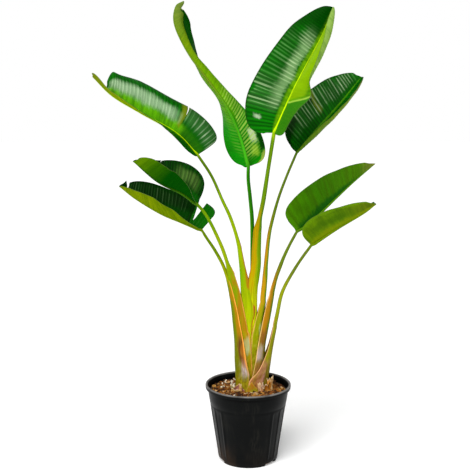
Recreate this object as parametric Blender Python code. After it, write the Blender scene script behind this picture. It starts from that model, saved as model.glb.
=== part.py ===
# Potted giant white bird of paradise: eight paddle leaves on clasping stalks in a nursery pot.
# Metres, +Z up. The origin is on the floor, at the middle of the pot's base.
import math
import random

import bmesh
import bpy
from mathutils import Matrix, Vector

MM = 0.001

# pot, a 10 inch nursery container
POT_HEIGHT = 0.244
POT_BASE_RADIUS = 0.093
POT_TAPER = 0.15
POT_WALL = 0.002
POT_FLOOR = 0.004
POT_FOOT_BEVEL = 0.005
RIM_RADIUS = 0.134
RIM_HEIGHT = 0.013
RIM_THICKNESS = 0.0025
BAND_BOTTOM = 0.185
FLUTE_BOTTOM = 0.022
FLUTE_DEPTH = 0.0022
RIB_GROUPS = 3
RIB_BEARING = -33
RIB_OFFSETS = (-18, 0, 18)
RIB_HALF_WIDTH = 5
POT_SEGMENTS = 120
DRAIN_SLOTS = 3
DRAIN_BEARING = -40
DRAIN_WIDTH = 0.050
DRAIN_HEIGHT = 0.010

# soil of bark chips, filled to just below the rim
SOIL_TOP = 0.224
SOIL_RINGS = 13
SOIL_SEGMENTS = 54
CHIPS = 150
CHIP_RISE = 0.006
SOIL_SEED = 7

# the clump of stalks stands in one plain hole in the soil
GAP = 0.0004
HOLE_GAP = 0.0015
STEM_FOOT = 0.204
CLUMP_CENTRE = 0.009
CLUMP_HALF_WIDTH = 0.053
CLUMP_HALF_DEPTH = 0.032
STEM_SIDES = 14
STALK_END = 0.85

# blades
BLADE_THICKNESS = 0.0009
MIDRIB_THICKNESS = 0.0055
MIDRIB_HALF_WIDTH = 0.006
BLADE_ROWS = 17
BLADE_COLUMNS = (0.07, 0.28, 0.52, 0.76, 1.0)
RIB_POINTS = 401
TEAR_HALF_SPAN = 0.002
TEAR_REACH = 0.035
STALK_CLEARANCE = 0.010

# Stalks, from the innermost out. Sheath rows are height, outer edge and free margin; stalk
# points are x, y, height and radius. All in millimetres. wrap is how far the sheath's oval
# runs on past its margin at the foot, and depth is the oval's half depth there.
STEMS = {
    "a": dict(side=-1, depth=9, wrap=0, close=260,
              rows=[(204, 1, 19)],
              path=[(12, 0, 366, 9), (14, 7, 510, 8), (13, 12, 636, 7), (12, 18, 754, 6.8),
                    (6, 22, 826, 6.4), (0, 28, 883, 6)]),
    "b": dict(side=1, depth=12.5, wrap=4, close=760,
              rows=[(204, 30, -14), (460, 28, -14), (542, 29, -8), (580, 34, 0), (623, 39, 8),
                    (670, 39, 10.5), (726, 40, 14.5)],
              path=[(35, -9, 776, 7.5), (45, -12, 828, 7.3), (59, -17, 923, 6.3)]),
    "d": dict(side=-1, depth=16, wrap=16, close=713,
              rows=[(204, -24, 24), (407, -24, 12), (475, -24, 21), (510, -24, 17),
                    (540, -24, 10), (580, -26, 0), (623, -29, -10.5), (670, -34, -20)],
              path=[(-39, -6, 722, 5.5), (-57, -12, 776, 5.6), (-80, -16, 826, 5),
                    (-112, -23, 899, 4.6)]),
    "c": dict(side=1, depth=20.5, wrap=34, close=520,
              rows=[(204, 46, 4), (363, 44, 9), (407, 45, 12), (459, 48, 25), (505, 55, 37)],
              path=[(51, 10, 574, 8.5), (55, 14, 632, 7), (62, 20, 700, 6.2),
                    (71, 26, 747, 5.6), (93, 36, 826, 4.7), (120, 49, 897, 4.3)]),
    "e": dict(side=-1, depth=23.5, wrap=30, close=615,
              rows=[(204, -35, 20), (390, -40, 6), (418, -43, -1), (487, -48, -14),
                    (538, -54, -26), (590, -66, -42)],
              path=[(-66, -15, 635, 6), (-77, -20, 670, 6), (-91, -26, 705, 5.8),
                    (-112, -37, 752, 5.4), (-132, -48, 789, 5)]),
    "g": dict(side=1, depth=26.5, wrap=35, close=545,
              rows=[(204, 51, -2), (262, 52, 10), (318, 52.5, 22), (366, 54, 29), (414, 62, 38),
                    (478, 73, 51), (530, 81, 65)],
              path=[(84, -4, 580, 6.5), (96, -5, 615, 6.4), (111, -4, 653, 5.4), (129, 0, 690, 4.8)]),
    "f": dict(side=-1, depth=29.5, wrap=57, close=580,
              rows=[(204, -39, 3), (278, -41, 3), (318, -43, -5), (377, -44, -14),
                    (426, -48, -23), (487, -54, -35), (540, -62, -48), (575, -69, -58)],
              path=[(-78, 14, 618, 5.8), (-104, 23, 665, 5.3), (-130, 35, 702, 4.8)]),
    "h": dict(side=1, depth=32, wrap=45, close=440,
              rows=[(204, 62, 1), (257, 64, 3), (287, 68, 28), (318, 72, 45), (366, 79, 63),
                    (427, 90, 77)],
              path=[(91, -15, 480, 6.2), (99, -20, 525, 6.2), (111, -26, 560, 5.8),
                    (131, -35, 600, 5.3), (157, -47, 646, 4.8)]),
}

# Blades. rib holds the midrib's points in metres. roll turns the upper face about the midrib
# in degrees: 0 faces the plant's middle, 90 the front, -90 the back. fold lifts each half
# from flat and curl bends it on toward its margin, at stations from base to tip. The near
# half is the one on the front or outer side. veins is how far the side veins slope toward the
# tip, as a share of the half's width. tears are place, start across and width, and cut is
# where a half ends early: start, end and the width left.
BLADES = {
    "a": dict(side=-1, width=0.100, widest=0.20, base=0.40, tip=0.55,
              rib=[(0.000, 0.030, 0.925), (-0.025, 0.050, 1.015), (-0.065, 0.060, 1.105),
                   (-0.123, 0.060, 1.188), (-0.183, 0.050, 1.268), (-0.223, 0.035, 1.350),
                   (-0.220, 0.030, 1.403), (-0.195, 0.030, 1.420)],
              roll=[-90, -70, -50, -50, -60],
              near=dict(fold=[60, 60, 60, 50, 45, 45, 45, 35, 35], base=0.24,
                        curl=[-50, -10, 40, 80, 110, 110, 90, 55, 50],
                        scale=[1.05, 0.95, 0.85, 0.55, 0.42, 0.42, 0.65, 0.70, 0.70],
                        veins=[0.1, 0.4, 0.6, 1.2, 1.2, 0.6, 0]),
              far=dict(fold=[48, 35, 30, 25, 15, 28, 45, 60, 60],
                       curl=[0, 15, 45, 70, 90, 135, 185, 150, 150], base=0.28,
                       scale=[1.0, 0.9, 0.95, 0.9, 1.0, 0.95, 1.15, 0.8, 0.35],
                       veins=[0.4, 0.4, 0.6, 0.9, 0.9, 0.8, 0])),
    "b": dict(side=1, width=0.120, widest=0.25, base=0.25, tip=0.55,
              rib=[(0.075, -0.020, 1.027), (0.130, -0.020, 1.150), (0.180, -0.005, 1.246),
                   (0.220, 0.015, 1.320), (0.254, 0.040, 1.403)],
              roll=[75],
              near=dict(fold=[50, 55, 53, 45, 20, 8, 0, -3, -5, -5, -5],
                        curl=[15, 15, 15, 15, 78, 105, 129, 150, 170, 175, 175],
                        scale=[1, 1, 1, 1, 0.75, 0.75, 0.8, 0.85, 0.9, 0.9, 0.9],
                        veins=[0, 0.1, 0.2]),
              far=dict(fold=[15, 20, 30], curl=[10], base=0.40, scale=[1.02, 1.02, 1.0, 1.03, 0.90],
                       veins=[-0.5, -0.22, -0.12, -0.08, -0.02, 0.02, 0.04, 0.06, 0.08, 0.1, 0.1])),
    "c": dict(side=1, width=0.100, widest=0.30, base=0.40, tip=0.55,
              rib=[(0.150, 0.060, 0.966), (0.210, 0.070, 1.034), (0.288, 0.090, 1.120),
                   (0.355, 0.120, 1.200)],
              roll=[65],
              near=dict(fold=[42, 25, 22], curl=[65, 75, 75], scale=[0.85], veins=[0.3]),
              far=dict(fold=[15], curl=[0], base=0.32, scale=[1, 1.03, 0.97, 0.84],
                       veins=[0.1, 0.25, 0.35, 0.35],
                       tears=[(0.42, 0.80, 0.012)])),
    "d": dict(side=-1, width=0.110, widest=0.25, base=0.35, tip=0.35,
              rib=[(-0.153, -0.030, 0.963), (-0.216, -0.045, 1.030), (-0.320, -0.066, 1.090),
                   (-0.400, -0.080, 1.138), (-0.455, -0.085, 1.192)],
              roll=[45, 35, 25],
              near=dict(fold=[20, 38, 40, 42], curl=[0], scale=[0.35, 0.72, 0.95, 1], veins=[0.3]),
              far=dict(fold=[60], curl=[-80, -95, -90], base=0.13, cut=(0.78, 0.865, 0.08),
                       scale=[1.02, 1.04, 0.99, 1.0, 1.08, 1.15, 1.16, 1.14, 1.1, 1.1, 1.0],
                       veins=[-0.20, 0.1, 0.3, 0.4, 0.6], tears=[(0.24, 0.55, 0.005)])),
    "e": dict(side=-1, width=0.090, widest=0.30, base=0.45, tip=0.50,
              rib=[(-0.154, -0.060, 0.817), (-0.198, -0.090, 0.854), (-0.265, -0.135, 0.892),
                   (-0.329, -0.190, 0.953)],
              roll=[12],
              near=dict(fold=[30, 50, 60], curl=[0], base=0.8,
                        scale=[0.2, 0.5, 0.85, 1.05, 1.1, 1.25, 1.4], veins=[0.3]),
              far=dict(fold=[40, 60, 70], curl=[0], base=0.25, scale=[1.15, 0.95, 0.66, 0.42],
                       veins=[-0.1, 0.3, 0.4],
                       tears=[(0.62, 0.85, 0.003)])),
    "f": dict(side=-1, width=0.085, widest=0.20, base=0.30, tip=0.45,
              rib=[(-0.145, 0.042, 0.725), (-0.207, 0.050, 0.750), (-0.273, 0.052, 0.777),
                   (-0.350, 0.046, 0.823), (-0.400, 0.035, 0.863)],
              roll=[30],
              near=dict(fold=[44, 58, 58, 50], curl=[0], base=0.8, scale=[0.42, 0.95, 1.08, 1.05, 0.95],
                        veins=[0.4]),
              far=dict(fold=[50], curl=[0], base=0.12, scale=[1.02, 0.99, 0.96, 0.88, 0.62],
                       veins=[-0.32, 0.1, 0.4, 0.4, 0.4],
                       tears=[(0.13, 0.2, 0.024), (0.92, 0.3, 0.012)])),
    "g": dict(side=1, width=0.100, widest=0.25, base=0.30, tip=0.80,
              rib=[(0.149, 0.004, 0.726), (0.204, 0.016, 0.767), (0.278, 0.040, 0.833),
                   (0.330, 0.060, 0.877), (0.400, 0.090, 0.930)],
              roll=[-30],
              near=dict(fold=[35], curl=[0], base=0.20, scale=[1.12, 1.0, 0.79, 0.67],
                        veins=[-0.12, 0.3, 0.4]),
              far=dict(fold=[40], curl=[0], scale=[1.2, 0.88, 0.7, 0.71, 0.68, 0.55],
                       veins=[0.1, 0.35, 0.4])),
    "h": dict(side=1, width=0.080, widest=0.28, base=0.40, tip=0.65,
              rib=[(0.188, -0.062, 0.694), (0.261, -0.094, 0.749), (0.334, -0.126, 0.798),
                   (0.367, -0.145, 0.827)],
              roll=[-30],
              near=dict(fold=[35], curl=[0], base=0.28, scale=[1.05, 1, 0.85, 0.9], veins=[0, 0.35]),
              far=dict(fold=[40], curl=[0], scale=[1, 1, 0.85, 0.9], veins=[0.1, 0.35, 0.4])),
}

# Dry scraps of old sheaths round the clump's foot: start and end bearing in degrees, height
# above the soil, where along the scrap its peak is, and how far the top leans out
SCRAPS = [
    dict(bearing=(-165, -112), height=0.029, peak=0.70, lean=0.004, colour=(0.50, 0.30, 0.22)),
    dict(bearing=(-108, -66), height=0.036, peak=0.45, lean=0.002, colour=(0.36, 0.33, 0.07)),
    dict(bearing=(-62, -46), height=0.033, peak=0.55, lean=0.007, colour=(0.62, 0.45, 0.33)),
    dict(bearing=(-38, -2), height=0.040, peak=0.65, lean=0.010, colour=(0.50, 0.26, 0.05)),
]
SCRAP_THICKNESS = 0.0014
SCRAP_DEPTH_IN_SOIL = 0.010


def clear_scene():
    for old in list(bpy.data.objects):
        bpy.data.objects.remove(old)


def material(name, colour, roughness, metallic=0.0):
    made = bpy.data.materials.new(name)
    made.use_nodes = True
    shader = made.node_tree.nodes["Principled BSDF"]
    shader.inputs["Base Color"].default_value = (*colour, 1.0)
    shader.inputs["Roughness"].default_value = roughness
    shader.inputs["Metallic"].default_value = metallic
    return made


def add_object(name, mesh_builder, surface):
    mesh = bpy.data.meshes.new(name)
    bmesh.ops.recalc_face_normals(mesh_builder, faces=mesh_builder.faces)
    mesh_builder.to_mesh(mesh)
    mesh_builder.free()
    made = bpy.data.objects.new(name, mesh)
    if surface is not None:
        made.data.materials.append(surface)
    bpy.context.scene.collection.objects.link(made)
    return made


def make_cutter(made):
    made.display_type = "WIRE"
    made.hide_render = True


def cut(target, tool, name):
    boolean = target.modifiers.new(name, "BOOLEAN")
    boolean.operation = "DIFFERENCE"
    boolean.solver = "EXACT"
    boolean.object = tool


def smoothstep(value):
    value = min(max(value, 0.0), 1.0)
    return value * value * (3.0 - 2.0 * value)


def catmull(before, start, end, after, k):
    """A point on the smooth curve between start and end."""
    return 0.5 * (2 * start + (end - before) * k
                  + (2 * before - 5 * start + 4 * end - after) * k * k
                  + (3 * start - before - 3 * end + after) * k ** 3)


def station(values, t):
    """Read a smooth value at t between stations spaced evenly from 0 to 1."""
    if len(values) == 1:
        return values[0]
    spans = len(values) - 1
    index = min(int(t * spans), spans - 1)
    ends = [2 * values[0] - values[1], *values, 2 * values[-1] - values[-2]]
    return catmull(*ends[index:index + 4], t * spans - index)


def smooth_path(points, count):
    """Points evenly spaced along a smooth curve through the given ones."""
    knots = [Vector(point) for point in points]
    steps = 240
    dense = [station(knots, i / steps) for i in range(steps + 1)]
    reach = [0.0]
    for start, end in zip(dense, dense[1:]):
        reach.append(reach[-1] + (end - start).length)
    path = []
    index = 0
    for i in range(count):
        wanted = reach[-1] * i / (count - 1)
        while index < steps - 1 and reach[index + 1] < wanted:
            index += 1
        share = (wanted - reach[index]) / (reach[index + 1] - reach[index])
        path.append(dense[index].lerp(dense[index + 1], share))
    return path, reach[-1]


def bridge_rings(builder, rings):
    """Skin a closed tube over rings of equal length, with flat ends."""
    for lower, upper in zip(rings, rings[1:]):
        for i in range(len(lower)):
            j = (i + 1) % len(lower)
            builder.faces.new((lower[i], lower[j], upper[j], upper[i]))
    builder.faces.new(rings[0])
    builder.faces.new(rings[-1])


# pot

def wall_radius(height):
    return POT_BASE_RADIUS + POT_TAPER * height


def make_pot():
    rim_bottom = POT_HEIGHT - RIM_HEIGHT
    lip = RIM_THICKNESS
    outline = [
        (0.0, 0.0),
        (wall_radius(0) - POT_FOOT_BEVEL, 0.0),
        (wall_radius(0), POT_FOOT_BEVEL),
        (wall_radius(0.018), 0.018),
        (wall_radius(FLUTE_BOTTOM), FLUTE_BOTTOM),
        (wall_radius(0.095), 0.095),
        (wall_radius(0.173), 0.173),
        (wall_radius(BAND_BOTTOM) - 0.002, BAND_BOTTOM - 0.003),
        (wall_radius(BAND_BOTTOM), BAND_BOTTOM),
        (wall_radius(rim_bottom), rim_bottom + lip),
        (RIM_RADIUS - lip, rim_bottom),
        (RIM_RADIUS, rim_bottom + 0.001),
        (RIM_RADIUS + 0.0005, POT_HEIGHT - 0.003),
        (RIM_RADIUS - 0.0025, POT_HEIGHT),
        (RIM_RADIUS - 0.006, POT_HEIGHT - 0.0015),
        (wall_radius(0.225) - POT_WALL, 0.225),
        (wall_radius(0.190) - POT_WALL, 0.190),
        (wall_radius(0.182) - POT_WALL - FLUTE_DEPTH, 0.182),
        (wall_radius(0.02) - POT_WALL - FLUTE_DEPTH, 0.020),
        (wall_radius(0.0) - POT_WALL - FLUTE_DEPTH, POT_FLOOR),
        (0.0, POT_FLOOR),
    ]
    builder = bmesh.new()
    points = [builder.verts.new((radius, 0, height)) for radius, height in outline]
    edges = [builder.edges.new(pair) for pair in zip(points, points[1:])]
    bmesh.ops.spin(builder, geom=points + edges, axis=(0, 0, 1), cent=(0, 0, 0),
                   angle=2 * math.pi, steps=POT_SEGMENTS, use_merge=True)
    bmesh.ops.remove_doubles(builder, verts=builder.verts, dist=1e-6)
    flute_outer_wall(builder)
    pot = add_object("pot", builder, material("pot_plastic", (0.012, 0.013, 0.014), 0.38))
    cut(pot, drain_cutter(), "drain_slots")


def rib_bearings():
    return [RIB_BEARING + 360 * i / RIB_GROUPS + offset
            for i in range(RIB_GROUPS) for offset in RIB_OFFSETS]


def flute_outer_wall(builder):
    """Sink the panels between the upright ribs of the outer wall."""
    for vert in builder.verts:
        radius = math.hypot(vert.co.x, vert.co.y)
        on_wall = abs(radius - wall_radius(vert.co.z)) < 1e-4
        if not on_wall or not FLUTE_BOTTOM - 1e-4 < vert.co.z < BAND_BOTTOM - 0.005:
            continue
        bearing = math.degrees(math.atan2(vert.co.y, vert.co.x))
        away = min(abs((bearing - rib + 180) % 360 - 180) for rib in rib_bearings())
        depth = FLUTE_DEPTH * smoothstep(away / RIB_HALF_WIDTH)
        vert.co.x *= (radius - depth) / radius
        vert.co.y *= (radius - depth) / radius


def drain_cutter():
    """Slots through the corner of wall and floor."""
    builder = bmesh.new()
    for i in range(DRAIN_SLOTS):
        bearing = math.radians(DRAIN_BEARING + 360 * i / DRAIN_SLOTS)
        turn = Matrix.Rotation(bearing, 4, "Z")
        place = turn @ Matrix.Translation((POT_BASE_RADIUS, 0, 0))
        size = Matrix.Diagonal((0.030, DRAIN_WIDTH, 2 * DRAIN_HEIGHT, 1))
        bmesh.ops.create_cube(builder, size=1.0, matrix=place @ size)
    tool = add_object("drain_cutter", builder, None)
    make_cutter(tool)
    return tool


# soil

def bark_chips():
    """Middle, bearing, tilt and height of each chip, drawn once from the seed."""
    draw = random.Random(SOIL_SEED)
    chips = []
    for _ in range(CHIPS):
        radius = soil_radius(SOIL_TOP) * math.sqrt(draw.random())
        bearing = draw.uniform(0, 2 * math.pi)
        middle = Vector((radius * math.cos(bearing), radius * math.sin(bearing)))
        slope = Vector((draw.uniform(-0.35, 0.35), draw.uniform(-0.35, 0.35)))
        chips.append((middle, draw.uniform(0, math.pi), slope, draw.uniform(-0.5, 0.5)))
    return chips


def chip_height(chips, x, y):
    """Rise of the soil at a place: the nearest chip's tilted face."""
    nearest = None
    rise = 0.0
    for middle, bearing, slope, level in chips:
        offset = Vector((x, y)) - middle
        along = offset.x * math.cos(bearing) + offset.y * math.sin(bearing)
        across = offset.y * math.cos(bearing) - offset.x * math.sin(bearing)
        distance = math.hypot(along * 0.6, across * 1.4)
        if nearest is None or distance < nearest:
            nearest = distance
            rise = level * CHIP_RISE + slope.dot(offset)
    return min(max(rise, -CHIP_RISE), CHIP_RISE)


def soil_radius(height):
    return wall_radius(height) - POT_WALL - FLUTE_DEPTH - GAP


def make_soil():
    chips = bark_chips()
    builder = bmesh.new()
    floor = POT_FLOOR + GAP
    rings = []
    for height, radius in [(floor, soil_radius(0) - GAP), (SOIL_TOP, soil_radius(SOIL_TOP - 0.002))]:
        rings.append([soil_point(builder, radius, i, height) for i in range(SOIL_SEGMENTS)])
    for k in range(1, SOIL_RINGS):
        radius = soil_radius(SOIL_TOP - 0.002) * (1 - k / SOIL_RINGS)
        rings.append([soil_point(builder, radius, i, SOIL_TOP, chips)
                      for i in range(SOIL_SEGMENTS)])
    bridge_rings(builder, rings)
    soil = add_object("soil", builder, material("bark_soil", (0.20, 0.085, 0.025), 0.9))
    cut(soil, clump_hole(), "clump_hole")
    return soil


def soil_point(builder, radius, index, height, chips=None):
    angle = 2 * math.pi * index / SOIL_SEGMENTS
    x = radius * math.cos(angle)
    y = radius * math.sin(angle)
    rise = chip_height(chips, x, y) if chips else 0.0
    return builder.verts.new((x, y, height + rise))


def clump_hole():
    """The plain hole that the clump stands in."""
    builder = bmesh.new()
    rings = []
    for height in (STEM_FOOT - GAP, SOIL_TOP + 0.030):
        rings.append([builder.verts.new(point) for point in oval(
            height, CLUMP_CENTRE, CLUMP_HALF_WIDTH + HOLE_GAP, CLUMP_HALF_DEPTH + HOLE_GAP, 36)])
    bridge_rings(builder, rings)
    tool = add_object("clump_hole", builder, None)
    make_cutter(tool)
    return tool


def oval(height, middle, half_width, half_depth, sides):
    points = []
    for i in range(sides):
        angle = 2 * math.pi * i / sides
        points.append(Vector((middle + half_width * math.cos(angle),
                              half_depth * math.sin(angle), height)))
    return points


# stalks with their clasping sheaths

def sheath_ring(stem, row, grow):
    """A level section: an oval cut flat at the sheath's free margin."""
    height, outer, margin = row
    foot, close = STEM_FOOT / MM, stem["close"]
    closed = min((height - foot) / (close - foot), 1.0)
    side = stem["side"]
    far = margin - side * stem["wrap"] * (1 - closed)
    radius = stem["path"][0][3]
    half_depth = radius + (stem["depth"] - radius) * (1 - closed ** 2)
    middle = 0.5 * (outer + far)
    half_width = 0.5 * abs(outer - far) + grow
    limit = margin - side * grow
    edge = math.acos(min(max(side * (limit - middle) / half_width, -1.0), 1.0))
    ring = []
    for angle in ring_angles(edge):
        x = middle + side * half_width * math.cos(angle)
        y = side * (half_depth + grow) * math.sin(angle)
        ring.append(Vector((x, y, height)) * MM)
    return ring


def ring_angles(edge=math.pi):
    """Even bearings round a section from one side of its flat or seam to the other."""
    widest = min(edge, math.pi - math.pi / STEM_SIDES)
    return [widest * (2 * i / (STEM_SIDES - 1) - 1) for i in range(STEM_SIDES)]


def stalk_ring(centre, direction, radius, side):
    """A round section square to the stalk."""
    across = direction.cross(Vector((0, -1, 0))).normalized() * side
    depth = direction.cross(across).normalized()
    return [centre + radius * (math.cos(angle) * across + math.sin(angle) * depth)
            for angle in ring_angles()]


def stem_rings(key, grow=0.0):
    """All sections of one stalk, from its foot to its blade. grow is in millimetres."""
    stem = STEMS[key]
    rows = list(stem["rows"])
    rings = []
    for lower, upper in zip(rows, rows[1:]):
        rings.append(sheath_ring(stem, lower, grow))
        if upper[0] - lower[0] > 90:
            middle = tuple(0.5 * (low + high) for low, high in zip(lower, upper))
            rings.append(sheath_ring(stem, middle, grow))
    rings.append(sheath_ring(stem, rows[-1], grow))
    if grow:
        rings.insert(0, [point - Vector((0, 0, 2 * MM)) for point in rings[0]])
    return rings + free_rings(key, grow)


def free_rings(key, grow):
    stem = STEMS[key]
    blade_foot = Vector(BLADES[key]["rib"][0])
    last_row = stem["rows"][-1]
    start = Vector((0.5 * (last_row[1] + last_row[2]), 0, last_row[0])) * MM
    points = [Vector(point[:3]) * MM for point in stem["path"]]
    radii = [point[3] for point in stem["path"]]
    away = Vector(BLADES[key]["rib"][1]) - blade_foot
    end = blade_foot - away.normalized() * GAP
    knots = [start, *points, end]
    radii = [*radii, radii[-1] * STALK_END]
    rings = []
    for i, centre in enumerate(knots[1:], start=1):
        ahead = knots[min(i + 1, len(knots) - 1)] - knots[i - 1]
        if i == len(knots) - 1:
            ahead = away
        radius = (radii[i - 1] + grow) * MM
        rings.append(stalk_ring(centre, ahead.normalized(), radius, stem["side"]))
    return rings


def make_stem(key, surface):
    builder = bmesh.new()
    rings = [[builder.verts.new(point) for point in ring] for ring in stem_rings(key)]
    bridge_rings(builder, rings)
    return add_object("stalk_" + key, builder, surface)


def make_stem_cutter(key):
    builder = bmesh.new()
    rings = [[builder.verts.new(point) for point in ring]
             for ring in stem_rings(key, grow=GAP / MM)]
    bridge_rings(builder, rings)
    tool = add_object("stalk_cutter_" + key, builder, None)
    make_cutter(tool)
    return tool


def make_stems():
    surface = material("stalk_skin", (0.30, 0.38, 0.03), 0.45)
    cutters = []
    for key in STEMS:
        stem = make_stem(key, surface)
        for tool in cutters:
            cut(stem, tool, "clear_of_" + tool.name)
        cutters.append(make_stem_cutter(key))


# blades

def half_width(blade, half, t):
    """Half the blade's width at t, from a blunt foot to a pointed tip."""
    widest = blade["widest"]
    if t < widest:
        share = (1 - (1 - t / widest) ** 2) ** half.get("base", blade["base"])
    else:
        reach = (t - widest) / (1 - widest)
        share = max(1 - reach * reach, 0.0) ** blade["tip"]
    if "cut" in half:
        start, end, left = half["cut"]
        beyond = min(max((t - start) / (end - start), 0.0), 1.0)
        share *= left + (1 - left) * math.sqrt(1 - beyond * beyond)
    return blade["width"] * station(half.get("scale", [1]), t) * share


def tear_shift(half, t, share, length):
    """How far the two lips of a tear draw apart along the midrib."""
    shift = 0.0
    for place, start, width in half.get("tears", []):
        opening = 0.5 * width * max((share - start) / (1 - start), 0.0)
        away = (t - place) * length
        shift += math.copysign(opening, away) * max(1 - abs(away) / TEAR_REACH, 0.0) ** 2
    return shift


def blade_frame(blade, path, index):
    """Directions along the midrib, out through the upper face, and to the viewer's right."""
    before = path[max(index - 1, 0)]
    after = path[min(index + 1, len(path) - 1)]
    along = (after - before).normalized()
    front = (Vector((0, -1, 0)) + along * along.y).normalized()
    inward = along.cross(front) * -blade["side"]
    roll = math.radians(station(blade["roll"], index / (len(path) - 1)))
    upper = inward * math.cos(roll) + front * math.sin(roll)
    return along, upper.normalized(), along.cross(upper).normalized()


def half_row(blade, half, frame, foot, length, t, direction):
    """Points of one half out to its margin along one vein, each with its upper normal."""
    along, upper, across = frame
    outward = across * direction
    width = max(half_width(blade, half, t), 0.0012 + 0.003 * (1 - t) ** 4)
    fold = station(half["fold"], t)
    curl = station(half["curl"], t)
    point = foot.copy()
    points = []
    done = 0.0
    for share in BLADE_COLUMNS:
        bend = math.radians(fold + curl * 0.5 * (done + share))
        step = outward * math.cos(bend) + upper * math.sin(bend)
        point = point + step * width * (share - done)
        done = share
        clear = smoothstep((width * share - STALK_CLEARANCE) / 0.02)
        ahead = station(half["veins"], t) * width * share * clear
        ahead += tear_shift(half, t, share, length)
        normal = upper * math.cos(bend) - outward * math.sin(bend)
        points.append((point + along * ahead, normal, width * share))
    return points


def row_stations(blade):
    """Places along the midrib, closer together at both ends, with a pair at each tear."""
    rows = [(0.5 - 0.5 * math.cos(math.pi * i / BLADE_ROWS), None, None, 0)
            for i in range(BLADE_ROWS + 1)]
    for name in ("near", "far"):
        if "cut" in blade[name]:
            start, end, _ = blade[name]["cut"]
            rows = [row for row in rows if not start < row[0] < end + 0.02]
            rows += [(start + (end - start) * share, None, None, 0) for share in (0.3, 0.7, 0.92, 1.0)]
        for tear in blade[name].get("tears", []):
            place = tear[0]
            rows = [row for row in rows if abs(row[0] - place) > 0.018]
            rows += [(place - TEAR_HALF_SPAN, name, tear, -1),
                     (place + TEAR_HALF_SPAN, name, tear, 1)]
    return sorted(rows, key=lambda row: row[0])


def thickness(distance, t):
    """Thickness of the blade at a distance from its midrib."""
    ridge = max(1 - distance / MIDRIB_HALF_WIDTH, 0.0) * (1 - 0.75 * t)
    return BLADE_THICKNESS + (MIDRIB_THICKNESS - BLADE_THICKNESS) * ridge


def blade_row(blade, path, length, row):
    """One line of points across the whole blade, near margin first."""
    t = row[0]
    index = round(t * (len(path) - 1))
    frame = blade_frame(blade, path, index)
    foot = path[index]
    near = half_row(blade, blade["near"], frame, foot, length, t, blade["side"])
    far = half_row(blade, blade["far"], frame, foot, length, t, -blade["side"])
    line = near[::-1] + [(foot, frame[1], 0.0)] + far
    return [(point, point - normal * thickness(distance, t)) for point, normal, distance in line]


def is_torn(row, column):
    """Whether the cell ahead of this row and column lies in a tear."""
    _, torn_half, tear, edge = row
    if tear is None or edge > 0:
        return False
    middle = len(BLADE_COLUMNS)
    near_cell = column < middle
    if near_cell != (torn_half == "near"):
        return False
    share = BLADE_COLUMNS[middle - 1 - column if near_cell else column - middle]
    return share > tear[1]


def make_blade(key, surface):
    blade = BLADES[key]
    path, length = smooth_path(blade["rib"], RIB_POINTS)
    rows = row_stations(blade)
    builder = bmesh.new()
    upper = []
    lower = []
    for row in rows:
        pairs = blade_row(blade, path, length, row)
        upper.append([builder.verts.new(pair[0]) for pair in pairs])
        lower.append([builder.verts.new(pair[1]) for pair in pairs])
    columns = len(upper[0])
    partner = {}
    for high, low in zip(upper, lower):
        partner.update(zip(high, low))
    top_faces = []
    for i in range(len(rows) - 1):
        for k in range(columns - 1):
            if is_torn(rows[i], k):
                continue
            a, b, c, d = upper[i][k], upper[i + 1][k], upper[i + 1][k + 1], upper[i][k + 1]
            top_faces += [builder.faces.new((a, b, c)), builder.faces.new((a, c, d))]
    rim = [edge for edge in builder.edges if len(edge.link_faces) == 1]
    for face in top_faces:
        builder.faces.new([partner[vert] for vert in reversed(face.verts)])
    for edge in rim:
        start, end = edge.verts
        builder.faces.new((start, end, partner[end], partner[start]))
    return add_object("blade_" + key, builder, surface)


# dry scraps of old sheaths

def scrap_sheet(scrap, inner, thickness, depth):
    """A thin closed sheet that stands round part of the clump's foot."""
    columns = 7
    start, end = (math.radians(angle) for angle in scrap["bearing"])
    builder = bmesh.new()
    layers = []
    for offset in (inner, inner + thickness):
        rows = []
        for level in range(5):
            row = []
            for i in range(columns):
                share = i / (columns - 1)
                angle = start + (end - start) * share
                slope = share / scrap["peak"]
                if share > scrap["peak"]:
                    slope = (1 - share) / (1 - scrap["peak"])
                top = scrap["height"] * (0.25 + 0.75 * slope ** 1.3)
                rise = (top + depth) * level / 4 - depth
                out = offset + scrap["lean"] * max(rise - CHIP_RISE, 0.0) / scrap["height"]
                row.append(builder.verts.new((
                    CLUMP_CENTRE + (CLUMP_HALF_WIDTH + out) * math.cos(angle),
                    (CLUMP_HALF_DEPTH + out) * math.sin(angle), SOIL_TOP + rise)))
            rows.append(row)
        layers.append(rows)
    skin_sheet(builder, *layers)
    return builder


def skin_sheet(builder, inside, outside):
    """Close two matching grids of points into one thin solid."""
    rows, columns = len(inside), len(inside[0])
    for i in range(rows - 1):
        for k in range(columns - 1):
            for grid, flip in ((inside, 1), (outside, -1)):
                corners = (grid[i][k], grid[i + 1][k], grid[i + 1][k + 1], grid[i][k + 1])
                for face in (corners[:3], (corners[0], corners[2], corners[3])):
                    builder.faces.new(face[::flip])
    rim = [(0, k) for k in range(columns)] + [(i, columns - 1) for i in range(1, rows)]
    rim += [(rows - 1, k) for k in range(columns - 2, -1, -1)]
    rim += [(i, 0) for i in range(rows - 2, 0, -1)]
    for (i, k), (m, n) in zip(rim, rim[1:] + rim[:1]):
        builder.faces.new((inside[i][k], inside[m][n], outside[m][n], outside[i][k]))


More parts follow.
